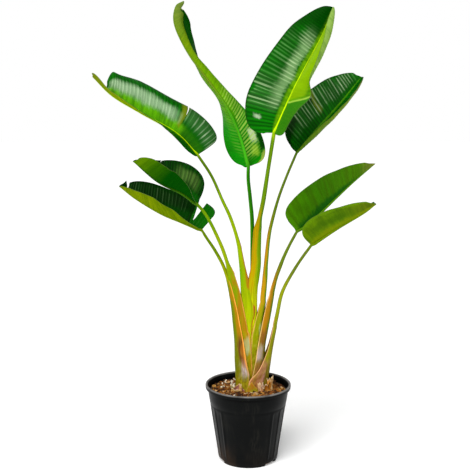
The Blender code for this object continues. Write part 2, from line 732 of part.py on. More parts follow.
def make_scraps(soil):
    for i, scrap in enumerate(SCRAPS, start=1):
        inner = HOLE_GAP + GAP
        surface = material("dry_scrap_%d" % i, scrap["colour"], 0.75)
        sheet = scrap_sheet(scrap, inner, SCRAP_THICKNESS, SCRAP_DEPTH_IN_SOIL)
        add_object("dry_scrap_%d" % i, sheet, surface)
        slot_width = SCRAP_THICKNESS + inner + 2 * GAP
        wider = dict(scrap, bearing=(scrap["bearing"][0] - 1.2, scrap["bearing"][1] + 1.2),
                     height=scrap["height"] + 0.02, lean=0)
        slot = scrap_sheet(wider, 0.0, slot_width, SCRAP_DEPTH_IN_SOIL + GAP)
        tool = add_object("scrap_slot_%d" % i, slot, None)
        make_cutter(tool)
        cut(soil, tool, "scrap_slot_%d" % i)


def make_blades():
    surface = material("leaf_green", (0.03, 0.16, 0.01), 0.35)
    for key in BLADES:
        make_blade(key, surface)


def main():
    clear_scene()
    make_pot()
    soil = make_soil()
    make_stems()
    make_blades()
    make_scraps(soil)


main()
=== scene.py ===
import bisect
import math
import random

import bmesh
import bpy
from mathutils import Matrix, Vector, noise


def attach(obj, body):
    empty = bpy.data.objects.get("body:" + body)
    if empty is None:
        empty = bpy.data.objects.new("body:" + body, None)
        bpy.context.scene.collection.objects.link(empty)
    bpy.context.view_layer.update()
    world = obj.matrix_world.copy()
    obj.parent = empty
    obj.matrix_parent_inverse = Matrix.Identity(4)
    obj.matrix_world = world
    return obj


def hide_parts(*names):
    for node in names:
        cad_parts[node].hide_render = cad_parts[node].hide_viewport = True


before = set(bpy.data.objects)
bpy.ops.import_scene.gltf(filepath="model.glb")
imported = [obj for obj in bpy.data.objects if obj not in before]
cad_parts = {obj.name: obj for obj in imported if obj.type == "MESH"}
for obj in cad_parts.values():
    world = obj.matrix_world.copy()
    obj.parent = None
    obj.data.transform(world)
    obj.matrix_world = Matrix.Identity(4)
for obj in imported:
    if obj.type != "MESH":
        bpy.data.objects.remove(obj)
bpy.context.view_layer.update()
mm = 0.001


# small helpers

def smoothStep(low, high, value):
    share = min(max((value - low) / (high - low), 0.0), 1.0)
    return share * share * (3 - 2 * share)


def window(value, edges):
    rise, top, fall, end = edges
    return smoothStep(rise, top, value) * (1 - smoothStep(fall, end, value))


everywhere = (-2, -1.5, 2, 3)


def upTo(fall, end):
    return (-2, -1.5, fall, end)


def past(rise, top):
    return (rise, top, 2, 3)


def tintAt(layers, a, b):  # tints laid over each other by two windows, and how far they cover
    tint = Vector((0.0, 0.0, 0.0))
    cover = 0.0
    for windowA, windowB, colour, strength in layers:
        layer = strength * window(a, windowA) * window(b, windowB)
        left = cover * (1 - layer)
        if layer + left > 1e-6:
            tint = (tint * left + Vector(colour) * layer) / (layer + left)
        cover = layer + left
    return (*tint, cover)


def catmull(before, start, end, after, k):
    return 0.5 * (2 * start + (end - before) * k
                  + (2 * before - 5 * start + 4 * end - after) * k * k
                  + (3 * start - before - 3 * end + after) * k ** 3)


def station(values, t):  # smooth value between stations spaced evenly from 0 to 1
    if len(values) == 1:
        return values[0]
    spans = len(values) - 1
    index = min(int(t * spans), spans - 1)
    ends = [2 * values[0] - values[1], *values, 2 * values[-1] - values[-2]]
    return catmull(*ends[index:index + 4], t * spans - index)


def smoothPath(points, count):  # evenly spaced points on a smooth curve, and its length
    knots = [Vector(point) for point in points]
    steps = 600
    dense = [station(knots, i / steps) for i in range(steps + 1)]
    reach = [0.0]
    for start, end in zip(dense, dense[1:]):
        reach.append(reach[-1] + (end - start).length)
    path = []
    index = 0
    for i in range(count):
        wanted = reach[-1] * i / (count - 1)
        while index < steps - 1 and reach[index + 1] < wanted:
            index += 1
        share = (wanted - reach[index]) / (reach[index + 1] - reach[index])
        path.append(dense[index].lerp(dense[index + 1], share))
    return path, reach[-1]


def onPath(path, t):
    place = min(max(t, 0.0), 1.0) * (len(path) - 1)
    index = min(int(place), len(path) - 2)
    return path[index].lerp(path[index + 1], place - index)


def alongPath(path, t):
    near = 0.012  # share of the path that is looked at to each side
    return (onPath(path, t + near) - onPath(path, t - near)).normalized()


def meshOf(name, bm):
    mesh = bpy.data.meshes.new(name)
    bm.to_mesh(mesh)
    bm.free()
    return mesh


def addObject(name, data):
    made = bpy.data.objects.new(name, data)
    bpy.context.scene.collection.objects.link(made)
    return made


def faceOut(bm, probe, outward):  # turns all faces round where the probe face looks inward
    if probe.normal.dot(outward) < 0:
        bmesh.ops.reverse_faces(bm, faces=bm.faces)


def addPiece(name, bm, surfaces, nodes=()):
    mesh = meshOf(name, bm)
    mesh.shade_smooth()
    for surface in surfaces:
        mesh.materials.append(surface)
    piece = addObject(name, mesh)
    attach(piece, "root")
    if nodes:
        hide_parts(*nodes)
    return piece


def thicken(piece, thickness, inside=0, rim=0):
    shell = piece.modifiers.new("thickness", "SOLIDIFY")
    shell.thickness = thickness
    shell.offset = -1
    shell.material_offset = inside
    shell.material_offset_rim = rim


# material helpers

def newSurface(name, roughness, gloss=0.5, glossTint=(1.0, 1.0, 1.0)):
    surface = bpy.data.materials.new(name)
    surface.use_nodes = True
    shader = surface.node_tree.nodes["Principled BSDF"]
    shader.inputs["Roughness"].default_value = roughness
    shader.inputs["Specular IOR Level"].default_value = gloss
    shader.inputs["Specular Tint"].default_value = (*glossTint, 1)
    return surface, surface.node_tree, shader


def isSocket(value):
    return isinstance(value, bpy.types.NodeSocket)


def treeOf(*values):  # the node tree that the first socket among the values belongs to
    return next(value.id_data for value in values if isSocket(value))


def join(value, node, socket):
    node.id_data.links.new(value, node.inputs[socket])


def addNode(tree, kind, inputs, **settings):
    made = tree.nodes.new(kind)
    for name, value in settings.items():
        setattr(made, name, value)
    for socket, value in inputs.items():
        if isSocket(value):
            join(value, made, socket)
        else:
            made.inputs[socket].default_value = value
    return made


def calc(operation, first, second, clamp=False):
    made = addNode(treeOf(first, second), "ShaderNodeMath", {0: first, 1: second},
                   operation=operation, use_clamp=clamp)
    return made.outputs[0]


def times(first, second, clamp=False):
    return calc("MULTIPLY", first, second, clamp)


def plus(first, second):
    return calc("ADD", first, second)


def minus(first, second):
    return calc("SUBTRACT", first, second)


def mix(factor, first, second):
    sides = [side if isSocket(side) else (*side, 1) for side in (first, second)]
    made = addNode(treeOf(factor), "ShaderNodeMix", {0: factor, 6: sides[0], 7: sides[1]},
                   data_type="RGBA")
    return made.outputs[2]


def layOver(colour, factor, strength, tint):  # a tint over a colour where the factor is high
    return mix(times(factor, strength), colour, tint)


def spread(value, low, high, toLow=0.0, toHigh=1.0):
    made = addNode(treeOf(value), "ShaderNodeMapRange", {
        "Value": value, "From Min": low, "From Max": high, "To Min": toLow, "To Max": toHigh},
        interpolation_type="SMOOTHSTEP")
    return made.outputs[0]


def ramp(value, stops):
    made = addNode(treeOf(value), "ShaderNodeValToRGB", {"Fac": value})
    colours = made.color_ramp.elements
    while len(colours) < len(stops):
        colours.new(0.5)
    for element, (place, colour) in zip(colours, stops):
        element.position = place
        element.color = (*colour, 1)
    return made.outputs["Color"]


def readVector(tree, name):
    made = addNode(tree, "ShaderNodeAttribute", {}, attribute_name=name)
    split = addNode(tree, "ShaderNodeSeparateXYZ", {0: made.outputs["Vector"]})
    return made.outputs["Vector"], split.outputs


def readPaint(tree, name):
    made = addNode(tree, "ShaderNodeAttribute", {}, attribute_name=name)
    return made.outputs["Color"], made.outputs["Alpha"]


def objectPlace(tree):
    return addNode(tree, "ShaderNodeTexCoord", {}).outputs["Object"]


def grain(vector, scale, detail=2.0, offset=(0, 0, 0)):
    tree = treeOf(vector)
    mapped = addNode(tree, "ShaderNodeMapping", {
        "Vector": vector, "Scale": scale, "Location": offset})
    made = addNode(tree, "ShaderNodeTexNoise", {
        "Vector": mapped.outputs[0], "Scale": 1.0, "Detail": detail})
    return made.outputs["Fac"]


def bump(shader, height, strength, distance):
    made = addNode(treeOf(height), "ShaderNodeBump", {
        "Height": height, "Strength": strength, "Distance": distance})
    join(made.outputs[0], shader, "Normal")


# pot, in metres, with bearings in degrees. Mouldings are steps outward and up from where they start.

potSize = dict(
    height=0.244, baseRadius=0.093, taper=0.15, wall=0.002, floor=0.004, steps=240,
    footRound=0.005, footSteps=4, wallHeights=(0.012, 0.018, 0.022, 0.026, 0.060, 0.100, 0.150, 0.171),
    bandBottom=0.185, bandFoot=0.008, bandMiddle=0.205,
    bandStep=[(-0.0015, -0.004), (-0.0015, -0.001), (0.0, 0.0015)],
    rimRadius=0.134, rimHeight=0.013, neck=[(0.0, 0.00175), (0.002, 0.0005)],
    rimUnder=[(-0.0015, 0.0), (-0.0004, 0.0004), (0.0, 0.0014)],
    rimRoll=[(0.0005, -0.0035), (0.0001, -0.0016), (-0.0010, -0.0004), (-0.0025, 0.0),
             (-0.0045, -0.0003), (-0.0058, -0.0014)],
    innerHeights=(0.236, 0.225), innerStep=(0.004, -0.003), innerFoot=0.020,
    fluteDepth=0.0022, fluteRise=(0.018, 0.024), fluteFall=(-0.012, -0.007), ribEdge=(0.5, 3.5),
    ribs=[-33 + 120 * i + offset for i in range(3) for offset in (-18, 0, 18)],
    slots=[-40 + 120 * i for i in range(3)], slotWidth=0.050, slotHeight=0.010, slotDepth=0.030,
    slotRound=0.003, sharpAngle=38)


def wallRadius(height):
    return potSize["baseRadius"] + potSize["taper"] * height


def moulding(radius, height, steps):
    return [(radius + out, height + up) for out, up in steps]


def potOutline():
    top, band, wall = potSize["height"], potSize["bandBottom"], potSize["wall"]
    rimBottom = top - potSize["rimHeight"]
    sunkWall = wall + potSize["fluteDepth"]
    foot = potSize["footRound"]
    outline = [(0.0, 0.0), (wallRadius(0) - foot, 0.0)]
    for i in range(1, potSize["footSteps"] + 1):
        turn = math.pi / 2 * i / potSize["footSteps"]
        outline.append((wallRadius(0) - foot * (1 - math.sin(turn)), foot * (1 - math.cos(turn))))
    outline += [(wallRadius(z), z) for z in (*potSize["wallHeights"], band - potSize["bandFoot"])]
    outline += moulding(wallRadius(band), band, potSize["bandStep"])
    outline.append((wallRadius(potSize["bandMiddle"]), potSize["bandMiddle"]))
    outline += moulding(wallRadius(rimBottom), rimBottom, potSize["neck"])
    outline += moulding(potSize["rimRadius"], rimBottom, potSize["rimUnder"])
    outline += moulding(potSize["rimRadius"], top, potSize["rimRoll"])
    outline += [(wallRadius(z) - wall, z) for z in potSize["innerHeights"]]
    upper, lower = potSize["innerStep"]
    outline += [(wallRadius(band) - wall, band + upper), (wallRadius(band) - sunkWall, band + lower),
                (wallRadius(potSize["innerFoot"]) - sunkWall, potSize["innerFoot"]),
                (wallRadius(0) - sunkWall, potSize["floor"]), (0.0, potSize["floor"])]
    return outline


def flutePanels(bm):  # sink the panels between the upright ribs
    fallStart, fallEnd = (potSize["bandBottom"] + up for up in potSize["fluteFall"])
    for vert in bm.verts:
        radius = math.hypot(vert.co.x, vert.co.y)
        if abs(radius - wallRadius(vert.co.z)) > 1e-4:
            continue
        bearing = math.degrees(math.atan2(vert.co.y, vert.co.x))
        away = min(abs((bearing - rib + 180) % 360 - 180) for rib in potSize["ribs"])
        fade = window(vert.co.z, (*potSize["fluteRise"], fallStart, fallEnd))
        depth = potSize["fluteDepth"] * fade * smoothStep(*potSize["ribEdge"], away)
        vert.co.x *= (radius - depth) / radius
        vert.co.y *= (radius - depth) / radius


def slotCutter():
    bm = bmesh.new()
    for bearing in potSize["slots"]:
        turn = Matrix.Rotation(math.radians(bearing), 4, "Z")
        place = turn @ Matrix.Translation((potSize["baseRadius"], 0, 0))
        size = Matrix.Diagonal((potSize["slotDepth"], potSize["slotWidth"], 2 * potSize["slotHeight"], 1))
        cube = bmesh.ops.create_cube(bm, size=1.0, matrix=place @ size)
        outward = turn @ Vector((1, 0, 0))
        corners = [edge for edge in bm.edges if all(v in cube["verts"] and v.co.z > 0 for v in edge.verts)
                   and abs((edge.verts[0].co - edge.verts[1].co).normalized().dot(outward)) > 0.9]
        bmesh.ops.bevel(bm, geom=corners, offset=potSize["slotRound"], segments=3, profile=0.5,
                        affect="EDGES", material=-1)
    return addObject("slotCutter", meshOf("slotCutter", bm))


def makePot(surface):
    bm = bmesh.new()
    points = [bm.verts.new((radius, 0, height)) for radius, height in potOutline()]
    edges = [bm.edges.new(pair) for pair in zip(points, points[1:])]
    bmesh.ops.spin(bm, geom=points + edges, axis=(0, 0, 1), cent=(0, 0, 0),
                   angle=2 * math.pi, steps=potSize["steps"], use_merge=True)
    bmesh.ops.remove_doubles(bm, verts=bm.verts, dist=1e-5)
    flutePanels(bm)
    bmesh.ops.recalc_face_normals(bm, faces=bm.faces)
    pot = addPiece("pot_body", bm, [surface], ["pot"])
    cutter = slotCutter()
    boolean = pot.modifiers.new("slots", "BOOLEAN")
    boolean.operation = "DIFFERENCE"
    boolean.solver = "EXACT"
    boolean.object = cutter
    cut = bpy.data.meshes.new_from_object(pot.evaluated_get(bpy.context.evaluated_depsgraph_get()))
    pot.modifiers.clear()
    pot.data = cut
    cut.set_sharp_from_angle(angle=math.radians(potSize["sharpAngle"]))
    bpy.data.objects.remove(cutter)


potLook = dict(
    black=(0.0022, 0.0026, 0.0026), haze=(0.020, 0.019, 0.015), splash=(0.060, 0.034, 0.018),
    shadow=(0.0004, 0.0005, 0.0005), rimHighlight=(0.20, 0.19, 0.18),
    splashTop=0.09, shadowHeights=(0.220, 0.226, 0.229, 0.232), rimHighlightHeights=(0.2385, 0.2430))


def potSurface():
    surface, tree, shader = newSurface("potBlack", 0.36, gloss=0.05)
    place = objectPlace(tree)
    sideways, _, height = addNode(tree, "ShaderNodeSeparateXYZ", {0: place}).outputs
    dust = grain(place, (26, 26, 9), 5)
    scuff = grain(place, (240, 240, 14), 3)
    speck = grain(place, (900, 900, 900), 2)
    haze = times(spread(dust, 0.48, 0.72), spread(scuff, 0.35, 0.7))
    splash = times(spread(height, potLook["splashTop"], 0.0), spread(dust, 0.3, 0.6))
    splash = times(splash, spread(sideways, -0.02, -0.08, 0.1, 1.0))  # mostly on the left
    start, full, fade, end = potLook["shadowHeights"]
    shadow = times(spread(height, start, full), spread(height, end, fade))
    # painted highlight: the rim's top edge made lighter, broken up by the dust grain
    rimHighlight = times(spread(height, *potLook["rimHighlightHeights"]), spread(dust, 0.25, 0.6, 0.35, 1.0))
    colour = layOver(potLook["black"], haze, 0.5, potLook["haze"])
    colour = layOver(colour, splash, 0.5, potLook["splash"])
    colour = layOver(colour, shadow, 0.9, potLook["shadow"])
    colour = layOver(colour, rimHighlight, 0.85, potLook["rimHighlight"])
    join(colour, shader, "Base Color")
    join(plus(0.24, times(dust, 0.24)), shader, "Roughness")
    bump(shader, plus(times(scuff, 0.6), times(speck, 0.25)), 0.35, 0.0006)
    return surface


# soil and what lies loose on it, in metres

soilSize = dict(top=0.224, rim=0.220, settled=0.0025, cells=72, skirt=(0.215, 0.012, 0.0046),
                clearance=0.0006, lumps=(34, 0.004), crumbs=(150, 0.0018), seed=11)
clump = dict(middle=0.009, halfWidth=0.053, halfDepth=0.032)


def soilRadius(height):
    return wallRadius(height) - potSize["wall"] - potSize["fluteDepth"] - soilSize["clearance"]


def soilSurfaceHeight(x, y):
    height = soilSize["top"] - soilSize["settled"]
    for (scale, size), lot in ((soilSize["lumps"], 3.1), (soilSize["crumbs"], 7.7)):
        height += noise.noise(Vector((x * scale, y * scale, lot))) * size
    return height


def makeSoil(surface):
    bm = bmesh.new()
    cells = soilSize["cells"]
    bmesh.ops.create_grid(bm, x_segments=cells, y_segments=cells, size=1.0)
    radius = soilRadius(soilSize["rim"])
    for vert in bm.verts:
        u, v = vert.co.x, vert.co.y  # square to disc
        x = radius * u * math.sqrt(1 - v * v / 2)
        y = radius * v * math.sqrt(1 - u * u / 2)
        vert.co = (x, y, soilSurfaceHeight(x, y))
    rim = [edge for edge in bm.edges if edge.is_boundary]
    for height in soilSize["skirt"]:
        made = bmesh.ops.extrude_edge_only(bm, edges=rim)["geom"]
        lower = [item for item in made if isinstance(item, bmesh.types.BMVert)]
        rim = [item for item in made if isinstance(item, bmesh.types.BMEdge)
               and all(vert in lower for vert in item.verts)]
        ring = soilRadius(height) - (0.001 if height == soilSize["skirt"][-1] else 0.0)
        for vert in lower:
            flat = Vector((vert.co.x, vert.co.y)).normalized() * ring
            vert.co = (flat.x, flat.y, height)
    bmesh.ops.contextual_create(bm, geom=rim)
    bmesh.ops.recalc_face_normals(bm, faces=bm.faces)
    addPiece("soil_bed", bm, [surface], ["soil"])


def clearOfClump(x, y, margin):
    inX = (x - clump["middle"]) / (clump["halfWidth"] + margin)
    inY = y / (clump["halfDepth"] + margin)
    return inX * inX + inY * inY > 1


def scatter(draw, count, loose):  # places on the soil clear of stalks and wall
    places = []
    while len(places) < count:
        radius = (soilRadius(soilSize["top"]) - loose["fromWall"]) * math.sqrt(draw.random())
        bearing = draw.uniform(0, 2 * math.pi)
        x, y = radius * math.cos(bearing), radius * math.sin(bearing)
        if clearOfClump(x, y, loose["fromClump"]):
            places.append((x, y))
    return places


chipSize = dict(count=620, fromClump=0.006, fromWall=0.008, shortest=0.006, longer=0.016, width=(0.3, 0.75),
                thickness=(0.0018, 0.0045), tilt=0.5, lift=0.0045, uneven=0.16, edge=0.0006)


def makeChips(surface):
    draw = random.Random(soilSize["seed"])
    bm = bmesh.new()
    tone = bm.verts.layers.float_vector.new("chipTone")
    tilt = chipSize["tilt"]
    for x, y in scatter(draw, chipSize["count"], chipSize):
        length = chipSize["shortest"] + chipSize["longer"] * draw.random() ** 1.6
        size = Matrix.Diagonal((length, length * draw.uniform(*chipSize["width"]),
                                draw.uniform(*chipSize["thickness"]), 1))
        lean = Matrix.Rotation(draw.uniform(-tilt, tilt), 4, "X")
        lean = lean @ Matrix.Rotation(draw.uniform(-tilt, tilt), 4, "Y")
        turn = Matrix.Rotation(draw.uniform(0, math.pi), 4, "Z")
        lift = soilSurfaceHeight(x, y) + draw.uniform(0.0, chipSize["lift"])
        cube = bmesh.ops.create_cube(bm, size=1.0,
                                     matrix=Matrix.Translation((x, y, lift)) @ turn @ lean @ size)
        shade = (draw.random(), draw.random(), draw.random())
        for vert in cube["verts"]:
            away = Vector((draw.uniform(-1, 1), draw.uniform(-1, 1), draw.uniform(-0.4, 0.4)))
            vert.co += away * length * chipSize["uneven"]
            vert[tone] = shade
    bmesh.ops.bevel(bm, geom=list(bm.edges), offset=chipSize["edge"], segments=1, profile=0.5,
                    affect="EDGES", material=-1, clamp_overlap=True)
    bmesh.ops.recalc_face_normals(bm, faces=bm.faces)
    chips = addPiece("bark_chips", bm, [surface])
    chips.data.set_sharp_from_angle(angle=math.radians(40))


# most bits lie in the corner behind the clump's left side, and strays anywhere
perliteSize = dict(tries=208, corner=(-0.02, 0.01), inCorner=26, strays=6, fromClump=0.004, fromWall=0.012,
                   radius=(0.0018, 0.0042), lift=0.0040, rough=700, uneven=0.35)


def makePerlite(surface):
    draw = random.Random(soilSize["seed"] + 1)
    bm = bmesh.new()
    places = scatter(draw, perliteSize["tries"], perliteSize)
    right, front = perliteSize["corner"]
    corner = [(x, y) for x, y in places if x < right and y > front][:perliteSize["inCorner"]]
    for x, y in corner + places[:perliteSize["strays"]]:
        radius = draw.uniform(*perliteSize["radius"])
        lift = soilSurfaceHeight(x, y) + perliteSize["lift"]
        ball = bmesh.ops.create_icosphere(bm, subdivisions=2, radius=radius,
                                          matrix=Matrix.Translation((x, y, lift)))
        for vert in ball["verts"]:
            vert.co += noise.noise_vector(vert.co * perliteSize["rough"]) * radius * perliteSize["uneven"]
    bmesh.ops.recalc_face_normals(bm, faces=bm.faces)
    addPiece("perlite_bits", bm, [surface])


fibreSize = dict(count=150, fromClump=0.010, fromWall=0.020, length=(0.012, 0.030), bend=1.2, width=0.0011,
                 taper=1.2, lift=0.0052, droop=0.006, thickness=0.0005)


def makeFibres(surface):
    draw = random.Random(soilSize["seed"] + 2)
    bm = bmesh.new()
    for x, y in scatter(draw, fibreSize["count"], fibreSize):
        before = set(bm.verts)
        bmesh.ops.create_grid(bm, x_segments=7, y_segments=1, size=0.5)
        length = draw.uniform(*fibreSize["length"])
        bearing = draw.uniform(0, 2 * math.pi)
        bend = draw.uniform(-fibreSize["bend"], fibreSize["bend"])
        for vert in set(bm.verts) - before:
            reach = vert.co.x
            turn = bearing + bend * reach
            width = vert.co.y * fibreSize["width"] * (1 - fibreSize["taper"] * reach * reach)
            vert.co = (x + reach * length * math.cos(turn) - width * math.sin(turn),
                       y + reach * length * math.sin(turn) + width * math.cos(turn),
                       soilSurfaceHeight(x, y) + fibreSize["lift"] - fibreSize["droop"] * reach * reach)
    fibres = addPiece("bark_fibres", bm, [surface])
    thicken(fibres, fibreSize["thickness"])


soilLook = dict(
    bed=[(0.3, (0.012, 0.006, 0.003)), (0.5, (0.055, 0.024, 0.009)), (0.72, (0.16, 0.075, 0.028))],
    chips=[(0.0, (0.010, 0.003, 0.001)), (0.25, (0.06, 0.016, 0.002)), (0.55, (0.20, 0.058, 0.004)),
           (0.85, (0.33, 0.12, 0.010)), (1.0, (0.50, 0.27, 0.06))],
    layer=(0.045, 0.018, 0.008), palest=(0.60, 0.40, 0.20))


def soilSurface():
    surface, tree, shader = newSurface("soilDark", 0.95)
    crumbs = grain(objectPlace(tree), (160, 160, 160), 6)
    join(ramp(crumbs, soilLook["bed"]), shader, "Base Color")
    bump(shader, crumbs, 0.9, 0.002)
    return surface


def chipSurface():
    surface, tree, shader = newSurface("barkChip", 0.82, gloss=0.15)
    _, tone = readVector(tree, "chipTone")
    layers = grain(objectPlace(tree), (420, 420, 900), 4)
    colour = ramp(tone[0], soilLook["chips"])
    colour = layOver(colour, spread(layers, 0.3, 0.75), 0.55, soilLook["layer"])
    colour = layOver(colour, spread(tone[1], 0.90, 0.97), 0.6, soilLook["palest"])
    join(colour, shader, "Base Color")
    bump(shader, layers, 0.7, 0.0012)
    return surface


def plainGrain(name, dark, light, roughness, fineness, depth):
    surface, tree, shader = newSurface(name, roughness)
    mottle = grain(objectPlace(tree), (fineness,) * 3, 4)
    join(mix(spread(mottle, 0.3, 0.7), dark, light), shader, "Base Color")
    bump(shader, mottle, 0.5, depth)
    return surface


# stalks. Sheath rows are height, outer edge and free margin, and stalk points x, y, height and
# radius, all in millimetres, repeated from the solids.

stalkShapes = {
    "a": dict(side=-1, depth=9, wrap=0, close=260,
              rows=[(204, 1, 19)],
              path=[(12, 0, 366, 9), (14, 7, 510, 8), (13, 12, 636, 7), (12, 18, 754, 6.8),
                    (6, 22, 826, 6.4), (0, 28, 883, 6)]),
    "b": dict(side=1, depth=12.5, wrap=4, close=760,
              rows=[(204, 30, -14), (460, 28, -14), (542, 29, -8), (580, 34, 0), (623, 39, 8),
                    (670, 39, 10.5), (726, 40, 14.5)],
              path=[(35, -9, 776, 7.5), (45, -12, 828, 7.3), (59, -17, 923, 6.3)]),
    "d": dict(side=-1, depth=16, wrap=16, close=713,
              rows=[(204, -24, 24), (407, -24, 12), (475, -24, 21), (510, -24, 17),
                    (540, -24, 10), (580, -26, 0), (623, -29, -10.5), (670, -34, -20)],
              path=[(-39, -6, 722, 5.5), (-57, -12, 776, 5.6), (-80, -16, 826, 5),
                    (-112, -23, 899, 4.6)]),
    "c": dict(side=1, depth=20.5, wrap=34, close=520,
              rows=[(204, 46, 4), (363, 44, 9), (407, 45, 12), (459, 48, 25), (505, 55, 37)],
              path=[(51, 10, 574, 8.5), (55, 14, 632, 7), (62, 20, 700, 6.2),
                    (71, 26, 747, 5.6), (93, 36, 826, 4.7), (120, 49, 897, 4.3)]),
    "e": dict(side=-1, depth=23.5, wrap=30, close=615,
              rows=[(204, -35, 20), (390, -40, 6), (418, -43, -1), (487, -48, -14),
                    (538, -54, -26), (590, -66, -42)],
              path=[(-66, -15, 635, 6), (-77, -20, 670, 6), (-91, -26, 705, 5.8),
                    (-112, -37, 752, 5.4), (-132, -48, 789, 5)]),
    "g": dict(side=1, depth=26.5, wrap=35, close=545,
              rows=[(204, 51, -2), (262, 52, 10), (318, 52.5, 22), (366, 54, 29), (414, 62, 38),
                    (478, 73, 51), (530, 81, 65)],
              path=[(84, -4, 580, 6.5), (96, -5, 615, 6.4), (111, -4, 653, 5.4), (129, 0, 690, 4.8)]),
    "f": dict(side=-1, depth=29.5, wrap=57, close=580,
              rows=[(204, -39, 3), (278, -41, 3), (318, -43, -5), (377, -44, -14),
                    (426, -48, -23), (487, -54, -35), (540, -62, -48), (575, -69, -58)],
              path=[(-78, 14, 618, 5.8), (-104, 23, 665, 5.3), (-130, 35, 702, 4.8)]),
    "h": dict(side=1, depth=32, wrap=45, close=440,
              rows=[(204, 62, 1), (257, 64, 3), (287, 68, 28), (318, 72, 45), (366, 79, 63),
                    (427, 90, 77)],
              path=[(91, -15, 480, 6.2), (99, -20, 525, 6.2), (111, -26, 560, 5.8),
                    (131, -35, 600, 5.3), (157, -47, 646, 4.8)]),
}
stalkMesh = dict(foot=204, columns=36, sheathStep=5, freeStep=7, pathPoints=400, startBend=1.2,
                 endBend=0.6, groove=0.16, grooveEdge=0.72, skin=1.5, ribRings=90, ribTaper=0.75,
                 ribSink=0.62, ribTip=0.4)

